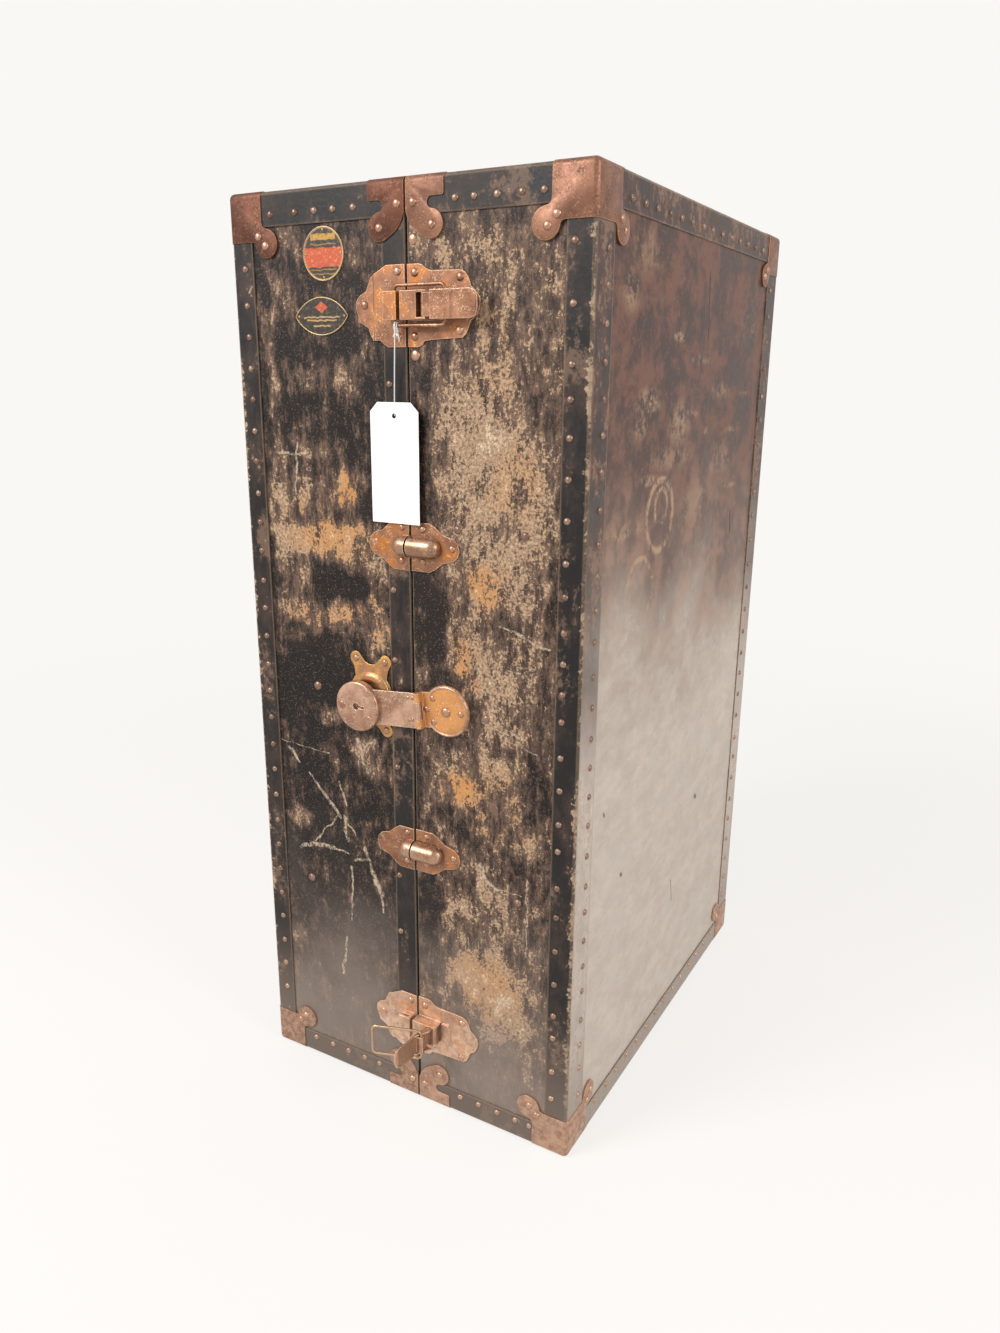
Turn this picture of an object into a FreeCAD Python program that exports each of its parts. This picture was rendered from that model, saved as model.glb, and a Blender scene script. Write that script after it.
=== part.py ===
import FreeCAD, Part
import math
import os

# Wardrobe trunk, upright and closed. The case parts at a vertical seam into a shallow right half
# (drawers) and a deeper left half (hanging space), hinged to each other at the back.
# Frame: origin on the floor under the middle of the closed case, +X to the viewer's right,
# -Y towards the viewer (the latched front), +Z up. Millimetres.
# On the front, "proud" means the distance out from the face of the seam fittings, towards -Y.

V = FreeCAD.Vector
doc = FreeCAD.newDocument("WardrobeTrunk")

SIZES = [
    ("case_height", 1016), ("case_depth", 573), ("left_width", 221.5), ("right_width", 198),
    ("seam_gap", 2), ("board", 8), ("lining", 2), ("rim", 1), ("binding", 1.5), ("cap_metal", 1.2),
    ("edge_bevel", 3), ("front_leg", 28), ("side_leg", 39), ("top_leg", 33), ("bottom_leg", 30),
    ("seam_strip", 27), ("cap_front", 44), ("cap_side", 57), ("cap_tall", 48), ("cap_lobe", 14.5),
    ("cap_lobe_lean", 5), ("cap_bite", 2.4),
    ("seam_cap_width", 42), ("seam_cap_edge", 19.5), ("seam_cap_lobe", 13), ("seam_cap_drop", 43),
    ("seam_cap_out", 28), ("seam_cap_top", 30),
    ("tongue", 6), ("tongue_metal", 1.2), ("tongue_play", 0.6), ("moving_gap", 0.3),
    ("hinge_knuckle", 4.2), ("hinge_pin", 2.2), ("hinge_tall", 75), ("hinge_leaf", 30),
    ("hinge_round", 8), ("leaf_metal", 1.5), ("pin_play", 0.05), ("hinge_inset", 150),
    ("plate_metal", 1.5), ("upper_latch_down", 114), ("lower_latch_up", 103.5), ("plate_half_tall", 37.4),
    ("latch_plate_reach", 82), ("catch_plate_reach", 60.5), ("plate_crease", 37),
    ("block_length", 18.5), ("block_tall", 26), ("block_proud", 12), ("ear", 2), ("ear_radius", 4.3),
    ("stop_length", 11), ("stop_proud", 2),
    ("pivot_out", 27.5), ("pivot_proud", 7.8), ("lever_pin", 2), ("lever_knuckle", 4.2),
    ("lever_metal", 1.6), ("lever_proud", 13.8), ("lever_end", 88), ("lever_cover", 22), ("lever_open", 97),
    ("bail_wire", 1.4), ("bail_tall", 36.2), ("bail_long", 58), ("bail_out", 49.5),
    ("bail_proud", 7.3), ("bail_corner", 5), ("bail_turn", 1.2), ("catch_near", 4), ("catch_far", 19),
    ("catch_proud", 11.2),
    ("upper_dowel_down", 345), ("lower_dowel_up", 330), ("dowel_half_tall", 25), ("dowel_left", 51),
    ("dowel_right", 58.5), ("dome_radius", 11), ("dome_left", 19.4), ("dome_right", 37.4),
    ("dowel_radius", 4), ("dowel_long", 12), ("dowel_play", 0.4),
    ("lock_out", 55.5), ("lock_down", 5), ("lock_half_wide", 27), ("lock_half_tall", 46.5),
    ("lock_lobe", 8.5), ("lock_waist", 7), ("dish_radius", 28), ("dish_wall", 2.8), ("dish_lip", 5),
    ("dish_floor", 0.8), ("dish_rise", 4), ("keeper_hole", 9.5),
    ("hasp_down", 7.5), ("hasp_out", 42.5), ("hasp_disc", 28), ("hasp_metal", 2.5), ("hasp_droop", 5.3),
    ("hasp_hinge", 28), ("hasp_barrel", 3.6), ("hasp_pin", 1.5), ("hasp_reach", 109), ("hasp_arm_tall", 39),
    ("hasp_arm_metal", 2), ("hasp_proud", 6.2), ("lock_radius", 28.5), ("lock_thick", 8), ("lock_bevel", 1.6),
    ("lock_stud", 3.5), ("lock_stud_long", 4), ("key_radius", 3.2), ("key_slot", 8), ("key_deep", 3),
    ("badge_round", 25.5), ("badge_metal", 0.8), ("badge_wide", 68), ("badge_high", 37),
    ("round_badge_out", 100), ("round_badge_down", 62.5), ("oval_badge_out", 105), ("oval_badge_down", 121),
    ("drawer_side", 6), ("drawer_front", 9), ("deep_drawer", 280), ("hat_space", 148), ("drawer_gap", 8),
    ("drawer_play", 3.5), ("runner", 12), ("runner_high", 4.7), ("pull_wide", 60), ("pull_high", 18),
    ("pull_leather", 3),
    ("rail_apart", 32), ("rail_metal", 2), ("rail_drop", 14), ("rail_lip", 10), ("rod_radius", 5),
    ("rod_drop", 30), ("trolley_plate", 3), ("hangers", 4), ("hanger_wide", 430), ("hanger_drop", 52),
    ("hanger_deep", 15), ("hanger_pitch", 40), ("hanger_thick", 8), ("hanger_eye", 3),
    ("handle_long", 160), ("handle_rise", 26), ("handle_wide", 24), ("handle_thick", 8), ("handle_bar", 2.5),
    ("handle_post", 3), ("handle_foot", 30), ("handle_margin", 12),
    ("tag_wide", 58), ("tag_tall", 119), ("tag_card", 0.6), ("tag_down", 208), ("tag_hole", 2.5),
    ("tag_hole_out", 14), ("tag_hole_down", 13), ("tag_clip", 9), ("tag_proud", 3), ("tag_string", 0.6),
    ("tag_slack", 0.9), ("tag_knot", 10),
]


class Size(float):
    """A length that keeps the sheet expression it comes from through sums and products."""

    def __new__(cls, value, text=None):
        size = super().__new__(cls, value)
        size.text = text or f"({float(value)!r})"
        return size

    def _joined(self, other, sign, value):
        other_text = other.text if isinstance(other, Size) else f"({float(other)!r})"
        return Size(value, f"({self.text} {sign} {other_text})")

    def __add__(self, other):
        return self._joined(other, "+", float(self) + float(other))

    def __sub__(self, other):
        return self._joined(other, "-", float(self) - float(other))

    def __mul__(self, other):
        return self._joined(other, "*", float(self) * float(other))

    def __truediv__(self, other):
        return self._joined(other, "/", float(self) / float(other))

    def __radd__(self, other):
        return Size(other) + self

    def __rsub__(self, other):
        return Size(other) - self

    def __rmul__(self, other):
        return Size(other) * self

    def __neg__(self):
        return Size(0) - self


class Sheet:
    """The driving sizes, read back from the document's spreadsheet."""

    def __init__(self, rows):
        table = doc.addObject("Spreadsheet::Sheet", "Sizes")
        for row, (name, value) in enumerate(rows, 1):
            table.set(f"A{row}", name)
            table.set(f"B{row}", str(value))
            table.setAlias(f"B{row}", name)
        doc.recompute()
        for name, _ in rows:
            setattr(self, name, Size(table.get(name), f"Sizes.{name}"))


S = Sheet(SIZES)

# Places that many pieces share.
skin = S.binding + S.cap_metal
inner_bevel = S.edge_bevel - S.cap_metal * (2 - math.sqrt(2))
left_out = -(S.left_width + S.right_width) / 2
right_out = (S.left_width + S.right_width) / 2
seam = left_out + S.left_width
front_out = -S.case_depth / 2
back_out = S.case_depth / 2
board_front = front_out + skin
board_back = back_out - skin
board_low = skin
board_top = S.case_height - skin
fitting_face = board_front - S.binding - S.plate_metal
inner_front = board_front + S.board + S.lining
inner_back = board_back - S.board - S.lining
inner_low = board_low + S.board + S.lining
inner_top = board_top - S.board - S.lining
hinge_line = board_back + S.hinge_knuckle
upper_latch = S.case_height - S.upper_latch_down
lower_latch = S.lower_latch_up
half_height = S.case_height / 2
SIDES = {"left": (-1, left_out), "right": (1, right_out)}
DISC_SIDES = 28
KNUCKLE_SIDES = 10


# ---------------------------------------------------------------- construction helpers

def span(a, b):
    """Two places along an axis, the lower first."""
    return (a, b) if a <= b else (b, a)


def bind(item, name, size):
    item.setExpression(name, size.text if isinstance(size, Size) else Size(size).text)


def place(item, x, y, z):
    for axis, size in zip("xyz", (x, y, z)):
        bind(item, f"Placement.Base.{axis}", size)
    return item


def box(name, x, y, z):
    """A block given by its low and high place on each axis."""
    block = doc.addObject("Part::Box", name)
    for side, (low, high) in zip(("Length", "Width", "Height"), (x, y, z)):
        bind(block, side, Size(1) * high - low)
    return place(block, x[0], y[0], z[0])


def cut(name, base, tool):
    result = doc.addObject("Part::Cut", name)
    result.Base = base
    result.Tool = tool
    return result


def fuse(name, pieces):
    result = doc.addObject("Part::MultiFuse", name)
    result.Shapes = pieces
    result.Refine = True
    return result


def group(name, pieces):
    """Several solids of one kind kept in one node."""
    result = doc.addObject("Part::Compound", name)
    result.Links = pieces
    return result


def feature(name, shape):
    item = doc.addObject("Part::Feature", name)
    item.Shape = shape
    return item


def rounded_loop(corners):
    """A closed outline from (x, y, radius) corners: lines joined by arcs."""
    points = [V(x, y, 0) for x, y, _ in corners]
    turns = []
    for i, (point, (_, _, radius)) in enumerate(zip(points, corners)):
        back = (points[i - 1] - point).normalize()
        ahead = (points[(i + 1) % len(points)] - point).normalize()
        if radius <= 0:
            turns.append((point, point, None))
            continue
        half = back.getAngle(ahead) / 2
        reach = radius / math.tan(half)
        middle = point + (back + ahead).normalize() * (radius / math.sin(half) - radius)
        turns.append((point + back * reach, point + ahead * reach, middle))
    edges = []
    for i, (start, end, middle) in enumerate(turns):
        if middle is not None:
            edges.append(Part.Arc(start, middle, end))
        following = turns[(i + 1) % len(turns)][0]
        if (following - end).Length > 1e-6:
            edges.append(Part.LineSegment(end, following))
    return edges


def circle_loop(x, y, radius):
    return [Part.Circle(V(x, y, 0), V(0, 0, 1), radius)]


def around(x, y, radius, start, end, steps):
    """Corners evenly along an arc, so that a rounding gets a chosen number of flat sides."""
    angles = [math.radians(start + (end - start) * i / steps) for i in range(steps + 1)]
    return [(x + radius * math.cos(angle), y + radius * math.sin(angle), 0) for angle in angles]


def many_sided(x, y, radius):
    """A large disc's outline with enough sides to look round."""
    return rounded_loop(around(x, y, radius, 0, 360, DISC_SIDES)[:-1])


def rolled(x, y, radius):
    """Outline of a small rolled eye or knuckle."""
    return rounded_loop(around(x, y, radius, 0, 360, KNUCKLE_SIDES)[:-1])


def sharp(corners):
    """A closed outline of straight lines from (x, y) corners."""
    return rounded_loop([(x, y, 0) for x, y in corners])


def face_of(*loops):
    """A flat face in XY from its outer loop and any holes."""
    wires = [Part.Wire([edge.toShape() for edge in loop]) for loop in loops]
    return Part.makeFace(wires, "Part::FaceMakerBullseye")


def prism(height, *loops):
    return face_of(*loops).extrude(V(0, 0, height))


def upright(shape):
    """Turn a prism drawn flat in XY so that its Y runs up and its height comes forward (-Y)."""
    return shape.rotated(V(0, 0, 0), V(1, 0, 0), 90)


def moved(shape, x, y, z):
    return shape.translated(V(x, y, z))


def turned_inward(shape, corner, inward):
    """A piece drawn in the first octant, mirrored to the given inward directions at a corner."""
    for axis, sign in zip((V(1, 0, 0), V(0, 1, 0), V(0, 0, 1)), inward):
        if sign < 0:
            shape = shape.mirror(V(0, 0, 0), axis)
    return shape.translated(V(*corner))


def sheet_body(name, thickness, *loops):
    """Sheet metal cut to an outline: a body with one padded sketch, facing the front."""
    body = doc.addObject("PartDesign::Body", name)
    sketch = body.newObject("Sketcher::SketchObject", name + "_outline")
    plane = next(item for item in body.Origin.OriginFeatures if item.Role == "XZ_Plane")
    sketch.AttachmentSupport = [(plane, "")]
    sketch.MapMode = "FlatFace"
    for loop in loops:
        sketch.addGeometry(loop, False)
    pad = body.newObject("PartDesign::Pad", name + "_sheet")
    pad.Profile = sketch
    bind(pad, "Length", thickness)
    return body


# ---------------------------------------------------------------- the two half cases

def half_boards(name, sign, outer):
    """Five boards of one half, butted face to face."""
    rim_face = seam + sign * (S.seam_gap / 2 + S.rim)
    inside = outer - sign * (skin + S.board)
    across = span(rim_face, inside)
    high = (board_low, board_top)
    box(f"{name}_side_panel", span(inside, outer - sign * skin), (board_front, board_back), high)
    box(f"{name}_front_panel", across, (board_front, board_front + S.board), high)
    box(f"{name}_back_panel", across, (board_back - S.board, board_back), high)
    between = (board_front + S.board, board_back - S.board)
    box(f"{name}_top_panel", across, between, (board_top - S.board, board_top))
    box(f"{name}_bottom_panel", across, between, (board_low, board_low + S.board))


def half_lining(name, sign, outer):
    """Paper-covered lining, open towards the seam."""
    rim_face = seam + sign * (S.seam_gap / 2 + S.rim)
    inside = outer - sign * (skin + S.board)
    shell = box(f"{name}_lining_block", span(rim_face, inside),
                (board_front + S.board, board_back - S.board),
                (board_low + S.board, board_top - S.board))
    hollow = box(f"{name}_lining_hollow", span(rim_face - sign * S.board, inside - sign * S.lining),
                 (inner_front, inner_back), (inner_low, inner_top))
    cut(f"{name}_lining", shell, hollow)


def frame_ring(name, across, inset):
    """A flat ring over the board edges, its hole inset from the boards' outer faces."""
    ring = box(f"{name}_ring", across, (board_front, board_back), (board_low, board_top))
    longer = (across[0] - S.board, across[1] + S.board)
    hole = box(f"{name}_hole", longer, (board_front + inset, board_back - inset),
               (board_low + inset, board_top - inset))
    cut(name, ring, hole)


def seam_rims():
    """Steel over the meeting edges, and a tongue on the left half that enters the right one."""
    edge = S.board + S.lining
    play, metal = S.tongue_play, S.tongue_metal
    right_face = seam + S.seam_gap / 2
    left_face = seam - S.seam_gap / 2
    frame_ring("right_seam_rim", (right_face, right_face + S.rim), edge)
    frame_ring("left_seam_rim", (left_face - S.rim, left_face), edge + play + metal)
    across = (left_face, right_face + S.tongue)
    front, low, high = inner_front + play, inner_low + play, inner_top - play
    along = (front, inner_back - S.hinge_leaf)
    group("seam_tongue", [
        box("tongue_bottom", across, along, (low, low + metal)),
        box("tongue_top", across, along, (high - metal, high)),
        box("tongue_front", across, (front, front + metal), (low + metal, high - metal))])


def angle_strip(leg_x, leg_y, length):
    """Fibre folded round an edge along Z; the outer edge is bevelled to sit inside the caps."""
    bevel, sheet = inner_bevel, S.binding
    return prism(length, sharp([(bevel, 0), (leg_x, 0), (leg_x, sheet), (sheet, sheet),
                                (sheet, leg_y), (0, leg_y), (0, bevel)]))


def along_x(shape):
    """Turn a piece drawn along Z to lie along X, its X leg turned to Z."""
    return shape.rotated(V(0, 0, 0), V(0, 1, 0), 90).mirror(V(0, 0, 0), V(0, 0, 1))


def along_y(shape):
    """Turn a piece drawn along Z to lie along Y, its Y leg turned to Z."""
    return shape.rotated(V(0, 0, 0), V(1, 0, 0), -90).mirror(V(0, 0, 0), V(0, 0, 1))


def half_bindings(name, sign, outer):
    """Eight folded strips round the case edges, and on the left half the flat seam strips."""
    cap = S.cap_metal
    x_corner = outer - sign * cap
    x_seam = seam + sign * S.seam_gap / 2
    strips = []
    for y_sign, y_face in ((1, front_out + cap), (-1, back_out - cap)):
        upright_length = S.case_height - 2 * cap - S.top_leg - S.bottom_leg
        strips.append(turned_inward(angle_strip(S.front_leg, S.side_leg, upright_length),
                                    (x_corner, y_face, cap + S.bottom_leg), (-sign, y_sign, 1)))
        across = abs(x_corner - x_seam) - S.front_leg
        for z_sign, z_face, leg in ((-1, S.case_height - cap, S.top_leg), (1, cap, S.bottom_leg)):
            strips.append(turned_inward(along_x(angle_strip(leg, S.top_leg, across)),
                                        (x_seam, y_face, z_face), (sign, y_sign, z_sign)))
    depth = S.case_depth - 2 * cap - 2 * S.side_leg
    for z_sign, z_face, leg in ((-1, S.case_height - cap, S.top_leg), (1, cap, S.bottom_leg)):
        strips.append(turned_inward(along_y(angle_strip(S.top_leg, leg, depth)),
                                    (x_corner, front_out + cap + S.side_leg, z_face), (-sign, 1, z_sign)))
    if name == "left":
        strips += seam_strips(x_seam)
    feature(f"{name}_bindings", Part.makeCompound(strips))


def seam_strips(x_seam):
    """Flat fibre strips beside the seam on the front and the top."""
    low = S.cap_metal + S.bottom_leg
    high = S.case_height - S.cap_metal - S.top_leg
    front_strip = Part.makeBox(S.seam_strip, S.binding, high - low,
                               V(x_seam - S.seam_strip, board_front - S.binding, low))
    front_end = front_out + S.cap_metal + S.top_leg
    back_end = back_out - S.cap_metal - S.top_leg
    top_strip = Part.makeBox(S.seam_strip, back_end - front_end, S.binding,
                             V(x_seam - S.seam_strip, front_end, board_top))
    return [front_strip, top_strip]


def lobed_face(wide, tall, lobe):
    """Outline of one face of a corner cap: square at the corner, with a round lobe on the diagonal."""
    x, y, bite = wide + S.cap_lobe_lean, tall, S.cap_bite
    lobe_rim = around(x, y, lobe, -80, 170, 8)
    waist_side, waist_top = lobe_rim[0], lobe_rim[-1]
    bite_side = ((wide + waist_side[0]) / 2 - bite, (tall / 2 + waist_side[1]) / 2 + bite / 2, 0)
    bite_top = ((wide / 2 + waist_top[0]) / 2, (tall + waist_top[1]) / 2 - bite, 0)
    return rounded_loop([(0, 0, 0), (wide, 0, 0), (wide, tall / 2, 0), bite_side, *lobe_rim,
                         bite_top, (wide / 2, tall, 0), (0, tall, 0)])


def bevelled_octant(size, start, bevel):
    """A cube in the first octant whose three edges at its low corner are bevelled."""
    cube = Part.makeBox(size, size, size, V(start, start, start))
    near = [edge for edge in cube.Edges
            if sum(abs(edge.CenterOfMass[i] - start) < 1e-6 for i in range(3)) == 2]
    return cube.makeChamfer(bevel, near)


def corner_cap():
    """Drawn cap over one corner, in the first octant: a thin shell trimmed on three faces."""
    reach = S.cap_side + S.cap_lobe_lean + S.cap_lobe + 1
    shell = bevelled_octant(reach, 0, S.edge_bevel).cut(bevelled_octant(reach, S.cap_metal, inner_bevel))
    deep = 2 * S.edge_bevel
    front = prism(deep, lobed_face(S.cap_front, S.cap_tall, S.cap_lobe))
    front = front.rotated(V(0, 0, 0), V(1, 0, 0), 90).mirror(V(0, 0, 0), V(0, 1, 0))
    side = prism(deep, lobed_face(S.cap_side, S.cap_tall, S.cap_lobe))
    side = side.rotated(V(0, 0, 0), V(1, 1, 1), 120)
    top = prism(deep, lobed_face(S.cap_front, S.cap_side, S.cap_lobe))
    return shell.common(front.fuse([side, top])).removeSplitter()


def half_corner_caps(name, sign, outer):
    cap = corner_cap()
    caps = [turned_inward(cap, (outer, y_out, z_out), (-sign, y_sign, z_sign))
            for y_sign, y_out in ((1, front_out), (-1, back_out))
            for z_sign, z_out in ((1, Size(0)), (-1, S.case_height))]
    feature(f"{name}_corner_caps", Part.makeCompound(caps))


def seam_cap():
    """Cap over a seam edge, first octant: X away from the seam, Y into the case, Z from the edge."""
    wide, edge, lobe = S.seam_cap_width, S.seam_cap_edge, S.seam_cap_lobe
    x, z = S.seam_cap_out, S.seam_cap_drop
    lobe_rim = around(x, z, lobe, -80, 130, 7)
    neck = lobe_rim[0][0]
    seam_end = edge + lobe - 1.5
    outline = rounded_loop([
        (0, 0, 0), (wide, 0, 0), (wide, edge, 0), (neck, edge, 0),
        (neck - lobe / 3, (edge + z - lobe) / 2, 0), *lobe_rim,
        (x - lobe * 1.25, (z + seam_end) / 2 + lobe / 2, 0), (0, seam_end, 0)])
    deep = 2 * S.edge_bevel
    front = prism(deep, outline).rotated(V(0, 0, 0), V(1, 0, 0), 90).mirror(V(0, 0, 0), V(0, 1, 0))
    top = prism(deep, sharp([(0, 0), (wide, 0), (wide, S.seam_cap_top), (0, S.seam_cap_top)]))
    reach = 2 * wide

    def bent(start, bevel):
        block = Part.makeBox(wide, reach, reach, V(0, start, start))
        near = [e for e in block.Edges
                if abs(e.CenterOfMass.y - start) < 1e-6 and abs(e.CenterOfMass.z - start) < 1e-6]
        return block.makeChamfer(bevel, near)

    shell = bent(0, S.edge_bevel).cut(bent(S.cap_metal, inner_bevel))
    return shell.common(front.fuse(top)).removeSplitter()


def half_seam_caps(name, sign):
    cap = seam_cap()
    x_seam = seam + sign * S.seam_gap / 2
    caps = [turned_inward(cap, (x_seam, y_out, z_out), (sign, y_sign, z_sign))
            for y_sign, y_out in ((1, front_out), (-1, back_out))
            for z_sign, z_out in ((1, Size(0)), (-1, S.case_height))]
    feature(f"{name}_seam_caps", Part.makeCompound(caps))


# ---------------------------------------------------------------- hinges at the back

def hinge_leaf(sign, high):
    """One leaf and its knuckles: the two end ones on the right leaf, the middle one on the left."""
    half, edge, corner = S.hinge_tall / 2, S.seam_gap / 2, S.hinge_round
    far = S.hinge_leaf
    leaf = upright(prism(S.leaf_metal, sharp([
        (edge, -half), (far - corner, -half), (far, corner - half), (far, half - corner),
        (far - corner, half), (edge, half)])))
    leaf = moved(leaf, 0, S.leaf_metal, 0)
    if sign < 0:
        leaf = leaf.mirror(V(0, 0, 0), V(1, 0, 0))
    leaf = moved(leaf, seam, board_back, high)
    knuckle_tall = S.hinge_tall / 3
    low = high - half
    gap = S.moving_gap
    room = S.hinge_knuckle + gap
    barrel = rolled(0, 0, S.hinge_knuckle)
    for number in range(3):
        bottom = low + number * knuckle_tall
        if (number == 1) == (sign < 0):
            top_gap = gap if number < 2 else 0
            leaf = leaf.fuse(moved(prism(knuckle_tall - top_gap, barrel), seam, hinge_line, bottom))
        else:
            leaf = leaf.cut(Part.makeBox(2 * room, 2 * room, knuckle_tall + gap,
                                         V(seam - room, hinge_line - room, bottom - gap)))
    bore = Part.makeCylinder(S.hinge_pin + S.pin_play, S.hinge_tall + 2, V(seam, hinge_line, low - 1))
    return leaf.cut(bore)


def hinge_pin(high):
    """Plain pin, as long as its hinge."""
    return Part.makeCylinder(S.hinge_pin, S.hinge_tall, V(seam, hinge_line, high - S.hinge_tall / 2))


def hinges():
    heights = (S.hinge_inset, half_height, S.case_height - S.hinge_inset)
    for name, (sign, _) in SIDES.items():
        feature(f"{name}_hinge_leaves", Part.makeCompound([hinge_leaf(sign, high) for high in heights]))
    feature("hinge_pins", Part.makeCompound([hinge_pin(high) for high in heights]))


# ---------------------------------------------------------------- toggle latches
# Each latch is drawn about the seam at its own height: X out from the seam, -Y proud, Z up.

def scaled_outline(points, half_gap, reach, half_tall):
    """A plate's outline: X from the seam edge to the tip and Z from the middle, as shares of its size."""
    return sharp([(half_gap + x * (reach - half_gap), z * half_tall) for x, z in points])


# Pressed outlines of the latch plates, as seen from the front: up from the seam, round the tip
# and back below. The lower seam corner has a notch, and the tips differ.
LATCH_PLATE = [
    (0, 1), (0.17, 1), (0.22, 0.96), (0.26, 0.88), (0.32, 0.83), (0.74, 0.81), (0.80, 0.75), (0.84, 0.64),
    (0.88, 0.42), (0.95, 0.30), (0.99, 0.19), (1, 0.08), (0.99, -0.07), (0.95, -0.26), (0.87, -0.39),
    (0.84, -0.56), (0.81, -0.70), (0.76, -0.78), (0.32, -0.83), (0.23, -0.86), (0.20, -0.95), (0.14, -1),
    (0, -1)]
CATCH_PLATE = [
    (0, 1), (0.36, 1), (0.69, 0.73), (0.79, 0.39), (0.93, 0.28), (0.99, 0.16), (1, -0.03), (0.92, -0.38),
    (0.76, -0.51), (0.72, -0.67), (0.66, -0.83), (0.51, -0.83), (0.41, -0.94), (0.34, -1), (0, -1)]


def latch_plate(name, high):
    """Right plate with its folded housing, two ears that hold the lever pin, and a stop boss."""
    half_gap = S.seam_gap / 2
    plate = sheet_body(f"{name}_plate", S.plate_metal,
                       scaled_outline(LATCH_PLATE, half_gap, S.latch_plate_reach, S.plate_half_tall))
    place(plate, seam, board_front, high)
    raised = S.binding
    tall = S.block_tall
    block_end = half_gap + S.block_length
    block = upright(prism(S.block_proud + raised, sharp([
        (half_gap, -tall / 2), (block_end, -tall / 2), (block_end, tall / 2), (half_gap, tall / 2)])))
    block = moved(block, 0, raised, 0)
    ear_end, ear_top = S.pivot_out + S.ear_radius, -S.pivot_proud - S.ear_radius
    ear_face = face_of(sharp([
        (block_end - S.ear, raised), (ear_end, raised), (ear_end, -S.pivot_proud),
        (ear_end - S.ear_radius / 2, ear_top), (block_end - S.ear, ear_top)]))
    for low in (-tall / 2, tall / 2 - S.ear):
        block = block.fuse(moved(ear_face.extrude(V(0, 0, S.ear)), 0, 0, low))
    stop_left, stop_half = ear_end + S.ear, tall / 2 - S.moving_gap
    stop_right = stop_left + S.stop_length
    boss = upright(prism(S.stop_proud, sharp([
        (stop_left, -stop_half), (stop_right - S.ear, -stop_half), (stop_right, -stop_half / 2),
        (stop_right, stop_half / 2), (stop_right - S.ear, stop_half), (stop_left, stop_half)])))
    boss = moved(boss, 0, raised, 0)
    housing = feature(f"{name}_housing", moved(block, seam, fitting_face, high))
    stop = feature(f"{name}_stop", moved(boss, seam, fitting_face, high))
    return fuse(f"{name}_plate_with_housing", [plate, housing, stop])


def catch_plate(name, high):
    """Left plate: creased down past the seam strip, with a hooked catch for the bail."""
    half_gap, crease, far = S.seam_gap / 2, S.plate_crease, S.catch_plate_reach
    sheet, step = S.plate_metal, S.binding
    ramp = step + sheet
    profile = face_of(sharp([
        (-half_gap, 0), (-crease, 0), (-crease - ramp, step), (-far - ramp, step),
        (-far - ramp, step + sheet), (-crease - ramp, step + sheet), (-crease, sheet), (-half_gap, sheet)]))
    tall = 2 * S.plate_half_tall
    strip = moved(profile.extrude(V(0, 0, tall)), 0, 0, -tall / 2)
    outline = scaled_outline(CATCH_PLATE, half_gap, far, S.plate_half_tall)
    trim = moved(upright(prism(tall, outline)).mirror(V(0, 0, 0), V(1, 0, 0)), 0, tall / 2, 0)
    plate = strip.common(trim)
    bar_x = S.bail_out - S.bail_long
    room = S.bail_wire + S.moving_gap
    hook = face_of(sharp([
        (-S.catch_near, 0), (-S.catch_far, 0), (-S.catch_far, room - S.bail_proud),
        (bar_x + room / 2, room - S.bail_proud), (bar_x + room, room / 2 - S.bail_proud),
        (bar_x + room, -room / 2 - S.bail_proud), (bar_x + room / 2, -S.bail_proud - room),
        (-S.catch_far, -S.bail_proud - room), (-S.catch_far, -S.catch_proud),
        (-S.catch_near, -S.catch_proud)]))
    catch = moved(hook.extrude(V(0, 0, S.block_tall)), 0, 0, -S.block_tall / 2)
    return feature(f"{name}_catch", moved(plate.fuse(catch), seam, fitting_face, high))


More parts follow.
